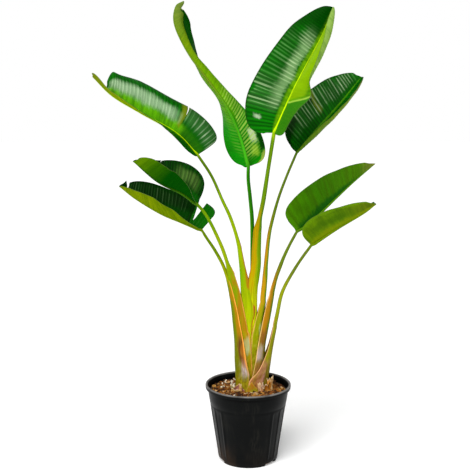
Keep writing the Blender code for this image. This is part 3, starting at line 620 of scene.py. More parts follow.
# Colours run from foot to tip. margin is the sheath's free edge, marginWidth its width in metres and
# marginFoot how strong it is at the foot. paint holds tints by side (-1 left to 1 right as seen
# from the front), height, colour and strength.
stalkLooks = {
    "a": dict(foot=(0.12, 0.16, 0.003), mid=(0.05, 0.16, 0.002), top=(0.008, 0.12, 0.0015),
              rib=(0.04, 0.34, 0.008), ribTip=(0.14, 0.24, 0.01), margin=(0.5, 0.3, 0.1),
              paint=[(upTo(-0.9, -0.4), past(0.5, 0.6), (0.05, 0.24, 0.003), 0.7)]),
    "b": dict(foot=(0.20, 0.17, 0.002), mid=(0.52, 0.55, 0.001), top=(0.085, 0.19, 0.003),
              rib=(0.50, 0.74, 0.001), margin=(0.42, 0.16, 0.01),
              paint=[(upTo(-0.1, 0.5), (0.50, 0.60, 0.74, 0.84), (0.40, 0.22, 0.0005), 0.9),
                     (past(0.3, 0.9), (0.52, 0.62, 0.85, 0.95), (0.09, 0.24, 0.001), 0.75),
                     ((-0.6, -0.2, 0.2, 0.6), past(0.80, 0.84), (0.13, 0.24, 0.004), 0.6)]),
    "c": dict(foot=(0.18, 0.14, 0.002), mid=(0.24, 0.27, 0.001), top=(0.12, 0.20, 0.010),
              rib=(0.04, 0.24, 0.002), margin=(0.60, 0.34, 0.08),
              paint=[(upTo(-0.1, 0.4), (0.44, 0.54, 0.70, 0.80), (0.44, 0.20, 0.004), 0.85),
                     (past(0.1, 0.7), (0.42, 0.50, 0.76, 0.86), (0.11, 0.22, 0.001), 0.75),
                     ((0.1, 0.4, 0.6, 1.0), (0.40, 0.415, 0.43, 0.45), (0.46, 0.52, 0.30), 0.45)]),
    "d": dict(foot=(0.16, 0.14, 0.002), mid=(0.38, 0.46, 0.001), top=(0.13, 0.25, 0.001),
              rib=(0.40, 0.60, 0.001), margin=(0.36, 0.07, 0.01),
              paint=[(past(0.5, 0.85), (0.44, 0.55, 0.66, 0.72), (0.34, 0.12, 0.004), 0.85),
                     (upTo(-0.6, -0.1), (0.50, 0.60, 0.72, 0.8), (0.13, 0.34, 0.001), 0.6),
                     (everywhere, (0.60, 0.66, 0.74, 0.82), (0.30, 0.40, 0.001), 0.65),
                     ((-0.5, -0.1, 0.3, 0.7), (0.76, 0.80, 0.84, 0.9), (0.22, 0.36, 0.002), 0.6),
                     (everywhere, (0.84, 0.90, 0.95, 0.97), (0.055, 0.12, 0.003), 0.75)]),
    "e": dict(foot=(0.17, 0.12, 0.002), mid=(0.30, 0.24, 0.001), top=(0.14, 0.28, 0.001),
              rib=(0.03, 0.15, 0.001), ribTip=(0.004, 0.07, 0.001), margin=(0.66, 0.30, 0.05),
              paint=[(past(-0.3, 0.4), (0.34, 0.44, 0.56, 0.64), (0.32, 0.12, 0.004), 0.85),
                     (past(0.0, 0.4), (0.335, 0.355, 0.385, 0.41), (0.38, 0.48, 0.28), 0.5),
                     (everywhere, (0.57, 0.61, 0.70, 0.76), (0.27, 0.34, 0.002), 0.7)]),
    "f": dict(foot=(0.24, 0.20, 0.003), mid=(0.16, 0.17, 0.001), top=(0.12, 0.21, 0.001),
              rib=(0.16, 0.24, 0.001), margin=(0.86, 0.34, 0.05), marginWidth=0.0042, marginFoot=0.12,
              paint=[(everywhere, (0.55, 0.58, 0.62, 0.66), (0.30, 0.32, 0.001), 0.7),
                     (past(-0.7, 0.1), (0.34, 0.42, 0.52, 0.60), (0.36, 0.13, 0.004), 0.85),
                     (upTo(-0.8, -0.5), (0.25, 0.30, 0.55, 0.62), (0.11, 0.15, 0.001), 0.6),
                     (past(-0.5, 0.1), (0.295, 0.33, 0.375, 0.42), (0.10, 0.020, 0.010), 0.9),
                     (past(0.3, 0.6), (0.30, 0.33, 0.36, 0.40), (0.36, 0.10, 0.012), 0.7),
                     ((-0.55, 0.1, 0.9, 1.3), (0.262, 0.285, 0.296, 0.325), (0.56, 0.42, 0.45), 0.85),
                     ((-0.2, 0.3, 0.8, 1.2), (0.296, 0.308, 0.318, 0.335), (0.42, 0.16, 0.12), 0.6),
                     ((-0.9, -0.4, 0.9, 1.4), (0.215, 0.225, 0.25, 0.27), (0.32, 0.26, 0.008), 0.75)]),
    "g": dict(foot=(0.17, 0.09, 0.02), mid=(0.21, 0.17, 0.001), top=(0.11, 0.165, 0.010),
              rib=(0.06, 0.18, 0.002), margin=(0.74, 0.44, 0.16),
              paint=[(upTo(0.1, 0.7), (0.38, 0.43, 0.56, 0.63), (0.36, 0.14, 0.004), 0.85),
                     (past(0.2, 0.7), (0.38, 0.43, 0.66, 0.72), (0.10, 0.20, 0.001), 0.75),
                     (upTo(0.4, 1.0), (0.365, 0.38, 0.405, 0.43), (0.20, 0.06, 0.015), 0.8),
                     (upTo(-0.1, 0.5), (0.315, 0.335, 0.355, 0.38), (0.44, 0.33, 0.36), 0.75),
                     (upTo(0.4, 0.9), (0.27, 0.29, 0.31, 0.33), (0.26, 0.10, 0.03), 0.6)]),
    "h": dict(foot=(0.24, 0.10, 0.02), mid=(0.24, 0.24, 0.004), top=(0.11, 0.155, 0.010),
              rib=(0.12, 0.20, 0.001), margin=(0.74, 0.36, 0.17), marginFoot=0.8,
              paint=[(past(0.2, 0.7), (0.0, 0.1, 0.36, 0.46), (0.16, 0.13, 0.002), 0.8),
                     (upTo(0.1, 0.6), (0.262, 0.28, 0.31, 0.335), (0.34, 0.13, 0.08), 0.75),
                     (upTo(0.3, 0.8), (0.225, 0.235, 0.262, 0.285), (0.38, 0.13, 0.05), 0.7),
                     ((-0.3, 0.1, 0.4, 0.8), (0.225, 0.24, 0.27, 0.30), (0.44, 0.22, 0.16), 0.6),
                     (everywhere, (0.40, 0.46, 0.55, 0.62), (0.26, 0.29, 0.004), 0.75)]),
}


def sheathRing(stem, row):
    height, outer, margin = row
    foot = stalkMesh["foot"]
    closed = min((height - foot) / (stem["close"] - foot), 1.0)
    side = stem["side"]
    far = margin - side * stem["wrap"] * (1 - closed)
    radius = stem["path"][0][3]
    halfDepth = radius + (stem["depth"] - radius) * (1 - closed ** 2)
    middle = 0.5 * (outer + far)
    halfWidth = 0.5 * abs(outer - far)
    edge = math.acos(min(max(side * (margin - middle) / halfWidth, -1.0), 1.0))
    ring = []
    for i in range(stalkMesh["columns"] + 1):
        angle = edge * (2 * i / stalkMesh["columns"] - 1)
        x = middle + side * halfWidth * math.cos(angle)
        y = side * halfDepth * math.sin(angle)
        ring.append((Vector((x, y, height)) * mm, angle * halfDepth * mm, edge - abs(angle)))
    return ring, edge, halfDepth * mm


def freeRing(centre, direction, radius, side, groove):
    across = direction.cross(Vector((0, -1, 0))).normalized() * side
    depth = direction.cross(across).normalized()
    ring = []
    for i in range(stalkMesh["columns"] + 1):
        angle = math.pi * (2 * i / stalkMesh["columns"] - 1)
        # shallow channel on the side that faces the plant's middle
        reach = radius * (1 - groove * smoothStep(stalkMesh["grooveEdge"], 1.0, abs(angle) / math.pi))
        point = centre + reach * (math.cos(angle) * across + math.sin(angle) * depth)
        ring.append((point, angle * radius, math.pi - abs(angle)))
    return ring


def stalkRings(key):  # rings from the foot to the tip of the midrib, with their share of the way
    stem = stalkShapes[key]
    ribPoints = bladeShapes[key]["rib"]
    foot = stalkMesh["foot"]
    rows = [Vector(row) for row in stem["rows"]]
    total = ribPoints[0][2] / mm - foot
    count = max(int((rows[-1][0] - foot) / stalkMesh["sheathStep"]), 1) if len(rows) > 1 else 0
    rings = []
    for i in range(count + 1):
        row = station(rows, i / max(count, 1))
        ring, edge, reach = sheathRing(stem, row)
        rings.append((ring, 0.5 * (row[0] - foot) / total, edge, reach))
    last, _, lastEdge, _ = rings[-1]
    middle = sum((item[0] for item in last), Vector()) / len(last)
    start = Vector((0.5 * (rows[-1][1] + rows[-1][2]), 0, rows[-1][0])) * mm
    points = [start] + [Vector(point[:3]) * mm for point in stem["path"]] + [Vector(ribPoints[0])]
    radii = [stem["path"][0][3]] + [point[3] for point in stem["path"]] + [stem["path"][-1][3]]
    path, length = smoothPath(points, stalkMesh["pathPoints"])
    rib, _ = smoothPath(ribPoints, stalkMesh["pathPoints"])
    ribStart = alongPath(rib, 0.0)
    knots = len(points) - 1
    steps = int(length / mm / stalkMesh["freeStep"])
    for i in range(1, steps + 1):
        t = i / steps
        rising = smoothStep(0.0, stalkMesh["startBend"] / knots, t)
        ending = smoothStep(1 - stalkMesh["endBend"] / knots, 1.0, t)
        direction = Vector((0, 0, 1)).lerp(alongPath(path, t), rising)
        direction = direction.normalized().lerp(ribStart, ending).normalized()
        centre = onPath(path, t)
        radius = stalkRadius(points, radii, centre.z) * mm
        ring = freeRing(centre, direction, radius, stem["side"], stalkMesh["groove"] * smoothStep(0, 0.3, t))
        # the sheath's top runs over into the round stalk
        left = 1 - smoothStep(points[0].z, points[1].z, centre.z) if len(rows) > 1 else 0.0
        if left > 0:
            ring = [(free[0].lerp(old[0] - middle + centre, left),
                     free[1] + (old[1] - free[1]) * left, free[2] + (old[2] - free[2]) * left)
                    for free, old in zip(ring, last)]
        edge = math.pi + (lastEdge - math.pi) * left
        rings.append((ring, 0.5 * (centre.z / mm - foot) / total, edge, radius))
    return rings + ribRings(key, rib, stem["path"][-1][3] * mm)


def stalkRadius(points, radii, height):
    for low, high, radius, above in zip(points, points[1:], radii, radii[1:]):
        if height <= high.z or high is points[-1]:
            return radius + (above - radius) * smoothStep(low.z, high.z, height)


def ribRings(key, rib, radius):  # the midrib, which runs on from the stalk under the blade
    blade = bladeShapes[key]
    rings = []
    for i in range(1, stalkMesh["ribRings"] + 1):
        t = i / stalkMesh["ribRings"]
        along, upper, _ = bladeFrame(blade, rib, t)
        neck = 1 - 0.15 * smoothStep(0, 0.1, t)
        size = radius * (1 - t) ** stalkMesh["ribTaper"] * neck + stalkMesh["ribTip"] * mm
        sink = size * stalkMesh["ribSink"] * smoothStep(0, 0.06, t)
        ring = freeRing(onPath(rib, t) - upper * sink, along, size, blade["side"],
                        stalkMesh["groove"] * (1 - t))
        rings.append((ring, 0.5 + 0.5 * t, math.pi, size))
    return rings


def sideOf(ring, point):  # -1 at the ring's left and 1 at its right, as seen from the front
    left = min(item[0].x for item in ring)
    right = max(item[0].x for item in ring)
    return 2 * (point.x - left) / max(right - left, 1e-6) - 1


def makeStalk(key, surface):
    rings = stalkRings(key)
    columns = stalkMesh["columns"]
    lot = ord(key)
    bm = bmesh.new()
    place = bm.verts.layers.float_vector.new("stalkPlace")
    tone = bm.verts.layers.float_vector.new("stalkTone")
    paint = bm.verts.layers.float_color.new("stalkPaint")
    bmesh.ops.create_grid(bm, x_segments=len(rings) - 1, y_segments=columns, size=0.5)
    for vert in bm.verts:
        ring, share, edge, reach = rings[round((vert.co.x + 0.5) * (len(rings) - 1))]
        point, around, fromEdge = ring[round((vert.co.y + 0.5) * columns)]
        sheathed = smoothStep(math.pi - 0.02, math.pi - 0.35, edge)
        vert.co = point
        vert[place] = (around, point.z, lot * 3.7)
        vert[tone] = (share, fromEdge * reach, sheathed)
        # the paint's edges wander
        sideways = sideOf(ring, point) + 0.7 * noise.noise(Vector((point.x * 70, point.z * 26, lot * 1.3)))
        height = point.z + 0.014 * noise.noise(Vector((point.x * 160, point.z * 30, 5.1)))
        vert[paint] = tintAt(stalkLooks[key]["paint"], sideways, height)
    weld = [vert for vert in bm.verts if vert.is_boundary]
    bmesh.ops.remove_doubles(bm, verts=weld, dist=2e-5)
    ends = [edge for edge in bm.edges if edge.is_boundary and edge.calc_length() < 0.0005
            and min(v.co.z for v in edge.verts) > 0.4]
    if ends:
        bmesh.ops.edgeloop_fill(bm, edges=ends)
    bm.normal_update()
    ring = rings[len(rings) // 3][0]
    centre = sum((item[0] for item in ring[:-1]), Vector()) / (len(ring) - 1)
    skin = ring[len(ring) // 2][0]
    probe = min(bm.faces, key=lambda face: (face.calc_center_median() - skin).length)
    faceOut(bm, probe, skin - centre)
    piece = addPiece("stalk_skin_" + key, bm, [surface], ["stalk_" + key])
    thicken(piece, stalkMesh["skin"] * mm)


stalkTints = dict(shade=(0.06, 0.09, 0.001), flush=(0.28, 0.08, 0.005), speckle=(0.10, 0.045, 0.004),
                  light=(0.44, 0.36, 0.05))


def stalkSurface(key):
    look = stalkLooks[key]
    surface, tree, shader = newSurface("stalkSkin_" + key, 0.36, gloss=0.02, glossTint=(1.0, 1.0, 0.4))
    vector, place = readVector(tree, "stalkPlace")
    _, (share, gap, sheathed) = readVector(tree, "stalkTone")
    tint, cover = readPaint(tree, "stalkPaint")
    streak = grain(vector, (420, 9, 1), 3)
    fine = grain(vector, (1400, 14, 1), 2)
    blotch = grain(vector, (70, 22, 1), 3)
    speck = grain(vector, (240, 60, 1), 4, offset=(1.7, 0.4, 0.9))
    colour = ramp(plus(share, times(blotch, 0.05)), [
        (0.03, look["foot"]), (0.16, look["mid"]), (0.34, look["top"]), (0.51, look["top"]),
        (0.545, look["rib"]), (0.66, look["rib"]), (0.76, look.get("ribTip", look["rib"]))])
    colour = layOver(colour, spread(streak, 0.42, 0.68), 0.4, stalkTints["shade"])
    colour = layOver(colour, times(spread(fine, 0.5, 0.75), sheathed), 0.35, stalkTints["flush"])
    uneven = times(spread(streak, 0.25, 0.6, 0.45, 1.1), cover, clamp=True)
    colour = mix(uneven, colour, tint)
    low = times(spread(share, 0.16, 0.06), spread(speck, 0.46, 0.66))
    colour = layOver(colour, low, 0.5, stalkTints["speckle"])
    lit = times(spread(share, 0.2, 0.08), spread(speck, 0.46, 0.3))
    colour = layOver(colour, lit, 0.35, stalkTints["light"])
    width = look.get("marginWidth", 0.0030)
    fromEdge = plus(gap, times(minus(blotch, 0.5), 0.0045))
    edge = times(spread(fromEdge, width, width * 0.3), sheathed)
    edge = times(edge, spread(speck, 0.25, 0.55, 0.6, 1.0))
    edge = times(edge, spread(place[1], 0.25, 0.345, look.get("marginFoot", 0.45), 1.0))
    colour = mix(edge, colour, look["margin"])
    join(colour, shader, "Base Color")
    bump(shader, plus(streak, fine), 0.28, 0.0006)
    return surface


# blades. rib holds the midrib's points. roll turns the upper face about the midrib: 0 faces the
# plant's middle, 90 the front. At stations from base to tip, fold lifts each half and curl bends
# it on toward its margin, both in degrees, scale widens it, and veins slants the side veins
# ahead. cut squares off a half's end. tears are place, start across and width.

bladeShapes = {
    "a": dict(side=-1, width=0.100, widest=0.20, base=0.40, tip=0.55,
              rib=[(0.000, 0.030, 0.925), (-0.025, 0.050, 1.015), (-0.065, 0.060, 1.105),
                   (-0.123, 0.060, 1.188), (-0.183, 0.050, 1.268), (-0.223, 0.035, 1.350),
                   (-0.220, 0.030, 1.403), (-0.195, 0.030, 1.420)],
              roll=[-90, -70, -50, -50, -60],
              near=dict(fold=[60, 60, 60, 50, 45, 45, 45, 35, 35], base=0.24,
                        curl=[-50, -10, 40, 80, 110, 110, 90, 55, 50],
                        scale=[1.05, 0.95, 0.85, 0.55, 0.42, 0.42, 0.65, 0.70, 0.70],
                        veins=[0.1, 0.4, 0.6, 1.2, 1.2, 0.6, 0]),
              far=dict(fold=[48, 35, 30, 25, 15, 28, 45, 60, 60],
                       curl=[0, 15, 45, 70, 90, 135, 185, 150, 150], base=0.28,
                       scale=[1.0, 0.9, 0.95, 0.9, 1.0, 0.95, 1.15, 0.8, 0.35],
                       veins=[0.4, 0.4, 0.6, 0.9, 0.9, 0.8, 0])),
    "b": dict(side=1, width=0.120, widest=0.25, base=0.25, tip=0.55,
              rib=[(0.075, -0.020, 1.027), (0.130, -0.020, 1.150), (0.180, -0.005, 1.246),
                   (0.220, 0.015, 1.320), (0.254, 0.040, 1.403)],
              roll=[75],
              near=dict(fold=[50, 55, 53, 45, 20, 8, 0, -3, -5, -5, -5],
                        curl=[15, 15, 15, 15, 78, 105, 129, 150, 170, 175, 175],
                        scale=[1, 1, 1, 1, 0.75, 0.75, 0.8, 0.85, 0.9, 0.9, 0.9],
                        veins=[0, 0.1, 0.2]),
              far=dict(fold=[15, 20, 30], curl=[10], base=0.40, scale=[1.02, 1.02, 1.0, 1.03, 0.90],
                       veins=[-0.5, -0.22, -0.12, -0.08, -0.02, 0.02, 0.04, 0.06, 0.08, 0.1, 0.1])),
    "c": dict(side=1, width=0.100, widest=0.30, base=0.40, tip=0.55,
              rib=[(0.150, 0.060, 0.966), (0.210, 0.070, 1.034), (0.288, 0.090, 1.120),
                   (0.355, 0.120, 1.200)],
              roll=[65],
              near=dict(fold=[42, 25, 22], curl=[65, 75, 75], scale=[0.85], veins=[0.3]),
              far=dict(fold=[15], curl=[0], base=0.32, scale=[1, 1.03, 0.97, 0.84],
                       veins=[0.1, 0.25, 0.35, 0.35],
                       tears=[(0.42, 0.80, 0.012)])),
    "d": dict(side=-1, width=0.110, widest=0.25, base=0.35, tip=0.35,
              rib=[(-0.153, -0.030, 0.963), (-0.216, -0.045, 1.030), (-0.320, -0.066, 1.090),
                   (-0.400, -0.080, 1.138), (-0.455, -0.085, 1.192)],
              roll=[45, 35, 25],
              near=dict(fold=[20, 38, 40, 42], curl=[0], scale=[0.35, 0.72, 0.95, 1], veins=[0.3]),
              far=dict(fold=[60], curl=[-80, -95, -90], base=0.13, cut=(0.78, 0.865, 0.08),
                       scale=[1.02, 1.04, 0.99, 1.0, 1.08, 1.15, 1.16, 1.14, 1.1, 1.1, 1.0],
                       veins=[-0.20, 0.1, 0.3, 0.4, 0.6], tears=[(0.24, 0.55, 0.005)])),
    "e": dict(side=-1, width=0.090, widest=0.30, base=0.45, tip=0.50,
              rib=[(-0.154, -0.060, 0.817), (-0.198, -0.090, 0.854), (-0.265, -0.135, 0.892),
                   (-0.329, -0.190, 0.953)],
              roll=[12],
              near=dict(fold=[30, 50, 60], curl=[0], base=0.8,
                        scale=[0.2, 0.5, 0.85, 1.05, 1.1, 1.25, 1.4], veins=[0.3]),
              far=dict(fold=[40, 60, 70], curl=[0], base=0.25, scale=[1.15, 0.95, 0.66, 0.42],
                       veins=[-0.1, 0.3, 0.4],
                       tears=[(0.62, 0.85, 0.003)])),
    "f": dict(side=-1, width=0.085, widest=0.20, base=0.30, tip=0.45,
              rib=[(-0.145, 0.042, 0.725), (-0.207, 0.050, 0.750), (-0.273, 0.052, 0.777),
                   (-0.350, 0.046, 0.823), (-0.400, 0.035, 0.863)],
              roll=[30],
              near=dict(fold=[44, 58, 58, 50], curl=[0], base=0.8, scale=[0.42, 0.95, 1.08, 1.05, 0.95],
                        veins=[0.4]),
              far=dict(fold=[50], curl=[0], base=0.12, scale=[1.02, 0.99, 0.96, 0.88, 0.62],
                       veins=[-0.32, 0.1, 0.4, 0.4, 0.4],
                       tears=[(0.13, 0.2, 0.024), (0.92, 0.3, 0.012)])),
    "g": dict(side=1, width=0.100, widest=0.25, base=0.30, tip=0.80,
              rib=[(0.149, 0.004, 0.726), (0.204, 0.016, 0.767), (0.278, 0.040, 0.833),
                   (0.330, 0.060, 0.877), (0.400, 0.090, 0.930)],
              roll=[-30],
              near=dict(fold=[35], curl=[0], base=0.20, scale=[1.12, 1.0, 0.79, 0.67],
                        veins=[-0.12, 0.3, 0.4]),
              far=dict(fold=[40], curl=[0], scale=[1.2, 0.88, 0.7, 0.71, 0.68, 0.55],
                       veins=[0.1, 0.35, 0.4])),
    "h": dict(side=1, width=0.080, widest=0.28, base=0.40, tip=0.65,
              rib=[(0.188, -0.062, 0.694), (0.261, -0.094, 0.749), (0.334, -0.126, 0.798),
                   (0.367, -0.145, 0.827)],
              roll=[-30],
              near=dict(fold=[35], curl=[0], base=0.28, scale=[1.05, 1, 0.85, 0.9], veins=[0, 0.35]),
              far=dict(fold=[40], curl=[0], scale=[1, 1, 0.85, 0.9], veins=[0.1, 0.35, 0.4])),
}
bladeMesh = dict(rows=300, columns=28, thickness=0.9, pleat=0.5, pleatSpan=(7.5, 12.5),
                 pathPoints=800, tearReach=0.035, sway=0.0035)

# The upper face runs from upper to fresh on its crests, and the under face from base to tip as
# under says. yellow is how far the band beside the midrib reaches across each half, in the
# colour band. paint holds tints by half, window across, window along, colour and strength; some
# of them are painted shade, painted highlights and painted sheen. lean slants the ends of the
# paint and ragged frays them. The painted sheen stands for glossy reflection painted into the
# colour, by half, window across, window along and strength, in its own tint. It shows as pale
# lines along the veins: line sets how high on a crest they start, from base to tip, wander how
# uneven they are and sheen how much shows between them. slant is the lines' own slant where it
# isn't the side veins'. On the under face the painted sheen has a strength of its own, vein
# darkens by veinDark, paleVein lightens by paleLines, and gloss is its shine.
leafLook = dict(
    upper=(0.0012, 0.052, 0.0012), fresh=(0.004, 0.145, 0.002), yellow=dict(near=0.1, far=0.1),
    band=(0.10, 0.36, 0.002), line=(0.0, 1.0, 0.8, 0.8), wander=2.6, sheen=0.2, paintedSheen=[],
    lean=dict(near=0.0, far=0.0), ragged=dict(near=1.0, far=1.0), slant=None, underPaintedSheen=0.1,
    gloss=0.02, vein=(0.006, 0.11, 0.001), veinDark=0.35, paleVein=(0.22, 0.40, 0.01), paleLines=0.2)
bladeLooks = {
    "a": dict(upper=(0.001, 0.048, 0.0006), fresh=(0.002, 0.10, 0.001),
              under=[(0.0, (0.0008, 0.21, 0.001)), (0.2, (0.004, 0.24, 0.001)),
                     (0.42, (0.13, 0.34, 0.001)), (0.75, (0.16, 0.26, 0.002)),
                     (1.0, (0.15, 0.20, 0.035))],
              paleVein=(0.08, 0.38, 0.01), paintedSheenTint=(0.42, 0.68, 0.09), underPaintedSheen=0.85,
              slant=0.5,
              paintedSheen=[("near", (0.04, 0.12, 0.6, 0.9), (0.02, 0.08, 0.34, 0.46), 0.85),
                     ("far", (0.04, 0.10, 0.3, 0.7), (0.04, 0.1, 0.30, 0.42), 0.16)],
              # the first tint is painted shade on the curled base lobe
              paint=[("near", past(0.78, 0.86), (0.05, 0.07, 0.15, 0.18), (0.001, 0.035, 0.001), 0.9),
                     # painted highlight: a whitish gloss patch on the base lobe
                     ("near", (0.35, 0.5, 0.7, 0.8), (0.10, 0.12, 0.155, 0.18), (0.60, 0.70, 0.42), 0.85),
                     ("near", (0.3, 0.45, 0.65, 0.8), (0.04, 0.055, 0.085, 0.10), (0.24, 0.46, 0.02), 0.8),
                     ("near", past(0.80, 0.90), upTo(0.04, 0.06), (0.34, 0.42, 0.06), 0.8)]),
    "b": dict(upper=(0.0006, 0.056, 0.0006), fresh=(0.003, 0.19, 0.001),
              yellow=dict(near=2.0, far=0.17), band=(0.12, 0.31, 0.001),
              under=[(0.0, (0.12, 0.30, 0.01)), (0.5, (0.22, 0.38, 0.06)), (1.0, (0.25, 0.40, 0.08))],
              paintedSheenTint=(0.50, 0.66, 0.36), line=(0.2, 0.7, 0.84, 0.78), wander=1.5, sheen=0.05,
              lean=dict(near=0.065, far=0.0), ragged=dict(near=0.15, far=1.0),
              paintedSheen=[("far", (0.13, 0.24, 0.36, 0.66), (0.12, 0.20, 0.64, 0.82), 0.75),
                     ("far", (0.30, 0.50, 0.92, 0.99), (0.13, 0.18, 0.30, 0.42), 0.7),
                     ("far", (0.40, 0.60, 0.90, 0.98), (0.30, 0.40, 0.60, 0.72), 0.16)],
              paint=[("near", everywhere, upTo(0.226, 0.238), (0.022, 0.165, 0.004), 0.95),
                     ("near", everywhere, (0.226, 0.234, 0.238, 0.248), (0.34, 0.52, 0.06), 0.8),
                     ("near", upTo(0.5, 0.8), (0.25, 0.27, 0.75, 0.9), (0.19, 0.34, 0.001), 0.8),
                     # painted sheen: a soft whitish band beside the midrib
                     ("far", (0.12, 0.22, 0.30, 0.56), (0.12, 0.30, 0.62, 0.84), (0.26, 0.44, 0.18), 0.5),
                     ("far", past(0.02, 0.10), past(0.68, 0.82), (0.0003, 0.042, 0.0003), 0.85),
                     # painted reflection: a small whitish patch
                     ("far", (0.54, 0.64, 0.70, 0.82), (0.092, 0.104, 0.110, 0.128),
                      (0.50, 0.62, 0.42), 0.65)]),
    "c": dict(upper=(0.0006, 0.060, 0.0006), fresh=(0.003, 0.165, 0.001),
              yellow=dict(near=0.05, far=0.04),
              under=[(0.0, (0.09, 0.19, 0.002)), (0.6, (0.16, 0.24, 0.004)), (1.0, (0.12, 0.12, 0.008))],
              paintedSheenTint=(0.46, 0.60, 0.36), line=(0.0, 1.0, 0.97, 0.80), wander=1.5, sheen=0.03,
              paintedSheen=[("far", (0.20, 0.36, 0.90, 0.98), (0.06, 0.2, 0.85, 0.97), 0.9)],
              paint=[("far", past(0.2, 0.35), (0.415, 0.425, 0.45, 0.47), (0.12, 0.17, 0.004), 0.8),
                     ("far", past(0.45, 0.7), upTo(0.16, 0.26), (0.0006, 0.012, 0.0006), 0.85),
                     ("far", past(0.5, 0.8), (0.34, 0.38, 0.41, 0.42), (0.0006, 0.012, 0.0006), 0.8)]),
    "d": dict(upper=(0.0006, 0.050, 0.0006), fresh=(0.004, 0.15, 0.001),
              yellow=dict(near=0.35, far=0.35),
              under=[(0.0, (0.12, 0.24, 0.002)), (0.7, (0.24, 0.34, 0.002)), (1.0, (0.19, 0.22, 0.008))],
              paintedSheenTint=(0.44, 0.58, 0.36), line=(0.15, 0.35, 0.93, 0.80), wander=1.2, sheen=0.06,
              gloss=0.0,
              paintedSheen=[("far", (0.16, 0.34, 0.46, 0.66), (0.22, 0.32, 0.76, 0.92), 0.75),
                     ("far", (0.28, 0.50, 0.94, 0.99), upTo(0.22, 0.26), 0.9)],
              # the first tint is painted sheen over the middle of the far half
              paint=[("far", (0.16, 0.34, 0.46, 0.66), (0.25, 0.34, 0.76, 0.92), (0.32, 0.48, 0.27), 0.55),
                     ("far", past(0.1, 0.2), (0.238, 0.245, 0.26, 0.28), (0.16, 0.20, 0.004), 0.7),
                     ("far", everywhere, upTo(0.17, 0.26), (0.0008, 0.078, 0.0008), 0.85),
                     ("near", everywhere, upTo(0.17, 0.26), (0.0008, 0.070, 0.0008), 0.85)]),
    "e": dict(upper=(0.0006, 0.022, 0.0006), fresh=(0.002, 0.075, 0.0006),
              yellow=dict(near=0.05, far=0.05),
              under=[(0.0, (0.002, 0.062, 0.001)), (0.55, (0.001, 0.058, 0.0005)),
                     (0.78, (0.03, 0.125, 0.0006)), (0.95, (0.10, 0.22, 0.001))],
              paintedSheenTint=(0.20, 0.34, 0.07), line=(0.0, 1.0, 0.72, 0.72), sheen=0.45,
              gloss=0.0, veinDark=0.25, vein=(0.001, 0.035, 0.0005), paleVein=(0.02, 0.13, 0.001),
              paintedSheen=[("far", (0.22, 0.5, 0.72, 0.92), (0.05, 0.16, 0.26, 0.42), 0.5)],
              paint=[("far", upTo(0.15, 0.4), upTo(0.12, 0.26), (0.002, 0.10, 0.001), 0.7)]),
    "f": dict(upper=(0.0004, 0.014, 0.0004), fresh=(0.001, 0.040, 0.0006),
              yellow=dict(near=0.08, far=0.05),
              under=[(0.0, (0.13, 0.22, 0.001)), (0.6, (0.17, 0.25, 0.001)), (1.0, (0.19, 0.26, 0.002))],
              paintedSheenTint=(0.28, 0.44, 0.20), line=(0.0, 1.0, 0.96, 0.96), wander=0.5, sheen=0.02,
              gloss=0.0, veinDark=0.45, vein=(0.03, 0.10, 0.0008), paleLines=0.5,
              paleVein=(0.32, 0.40, 0.004),
              paintedSheen=[("far", (0.3, 0.5, 0.85, 0.96), (0.2, 0.3, 0.85, 0.95), 0.45)],
              paint=[("far", everywhere, upTo(0.15, 0.17), (0.003, 0.12, 0.001), 0.9),
                     ("far", upTo(0.3, 0.6), (0.16, 0.2, 0.34, 0.5), (0.001, 0.060, 0.001), 0.7),
                     ("far", upTo(0.2, 0.5), past(0.3, 0.5), (0.002, 0.045, 0.001), 0.6)]),
    "g": dict(under=[(0.0, (0.06, 0.22, 0.001)), (0.4, (0.036, 0.17, 0.001)),
                     (0.8, (0.045, 0.15, 0.001)), (1.0, (0.18, 0.18, 0.03))],
              paintedSheenTint=(0.08, 0.26, 0.01), vein=(0.035, 0.08, 0.001), paleVein=(0.10, 0.30, 0.004),
              veinDark=0.5,
              # painted shade along the fold beside the midrib
              paint=[("near", upTo(0.10, 0.30), (0.02, 0.06, 0.60, 0.85), (0.002, 0.075, 0.003), 0.85)]),
    "h": dict(under=[(0.0, (0.10, 0.19, 0.001)), (0.5, (0.075, 0.175, 0.001)), (1.0, (0.10, 0.13, 0.003))],
              paintedSheenTint=(0.2, 0.4, 0.05), vein=(0.035, 0.09, 0.001), paleVein=(0.20, 0.28, 0.003),
              veinDark=0.5,
              paint=[("near", upTo(0.10, 0.32), everywhere, (0.16, 0.22, 0.001), 0.8),
                     ("near", (0.30, 0.42, 0.56, 0.70), (0.08, 0.2, 0.5, 0.7), (0.035, 0.10, 0.001), 0.6),
                     ("near", past(0.80, 0.95), everywhere, (0.12, 0.26, 0.002), 0.6)]),
}


def halfWidth(blade, half, t):
    widest = blade["widest"]
    if t < widest:
        share = (1 - (1 - t / widest) ** 2) ** half.get("base", blade["base"])
    else:
        reach = (t - widest) / (1 - widest)
        share = max(1 - reach * reach, 0.0) ** blade["tip"]
    if "cut" in half:
        start, end, left = half["cut"]
        beyond = min(max((t - start) / (end - start), 0.0), 1.0)
        share *= left + (1 - left) * math.sqrt(1 - beyond * beyond)
    return blade["width"] * station(half.get("scale", [1]), t) * share


def bladeFrame(blade, path, t):  # along the midrib, out of the upper face, to the viewer's right
    along = alongPath(path, t)
    front = (Vector((0, -1, 0)) + along * along.y).normalized()
    inward = along.cross(front) * -blade["side"]
    roll = math.radians(station(blade["roll"], t))
    upper = inward * math.cos(roll) + front * math.sin(roll)
    return along, upper.normalized(), along.cross(upper).normalized()


def veinPlaces(key, length):  # where side veins leave the midrib, a little unevenly
    draw = random.Random("veins" + key)
    low, high = bladeMesh["pleatSpan"]
    places = [0.0]
    while places[-1] < length:
        places.append(places[-1] + draw.uniform(low, high) * mm)
    return places


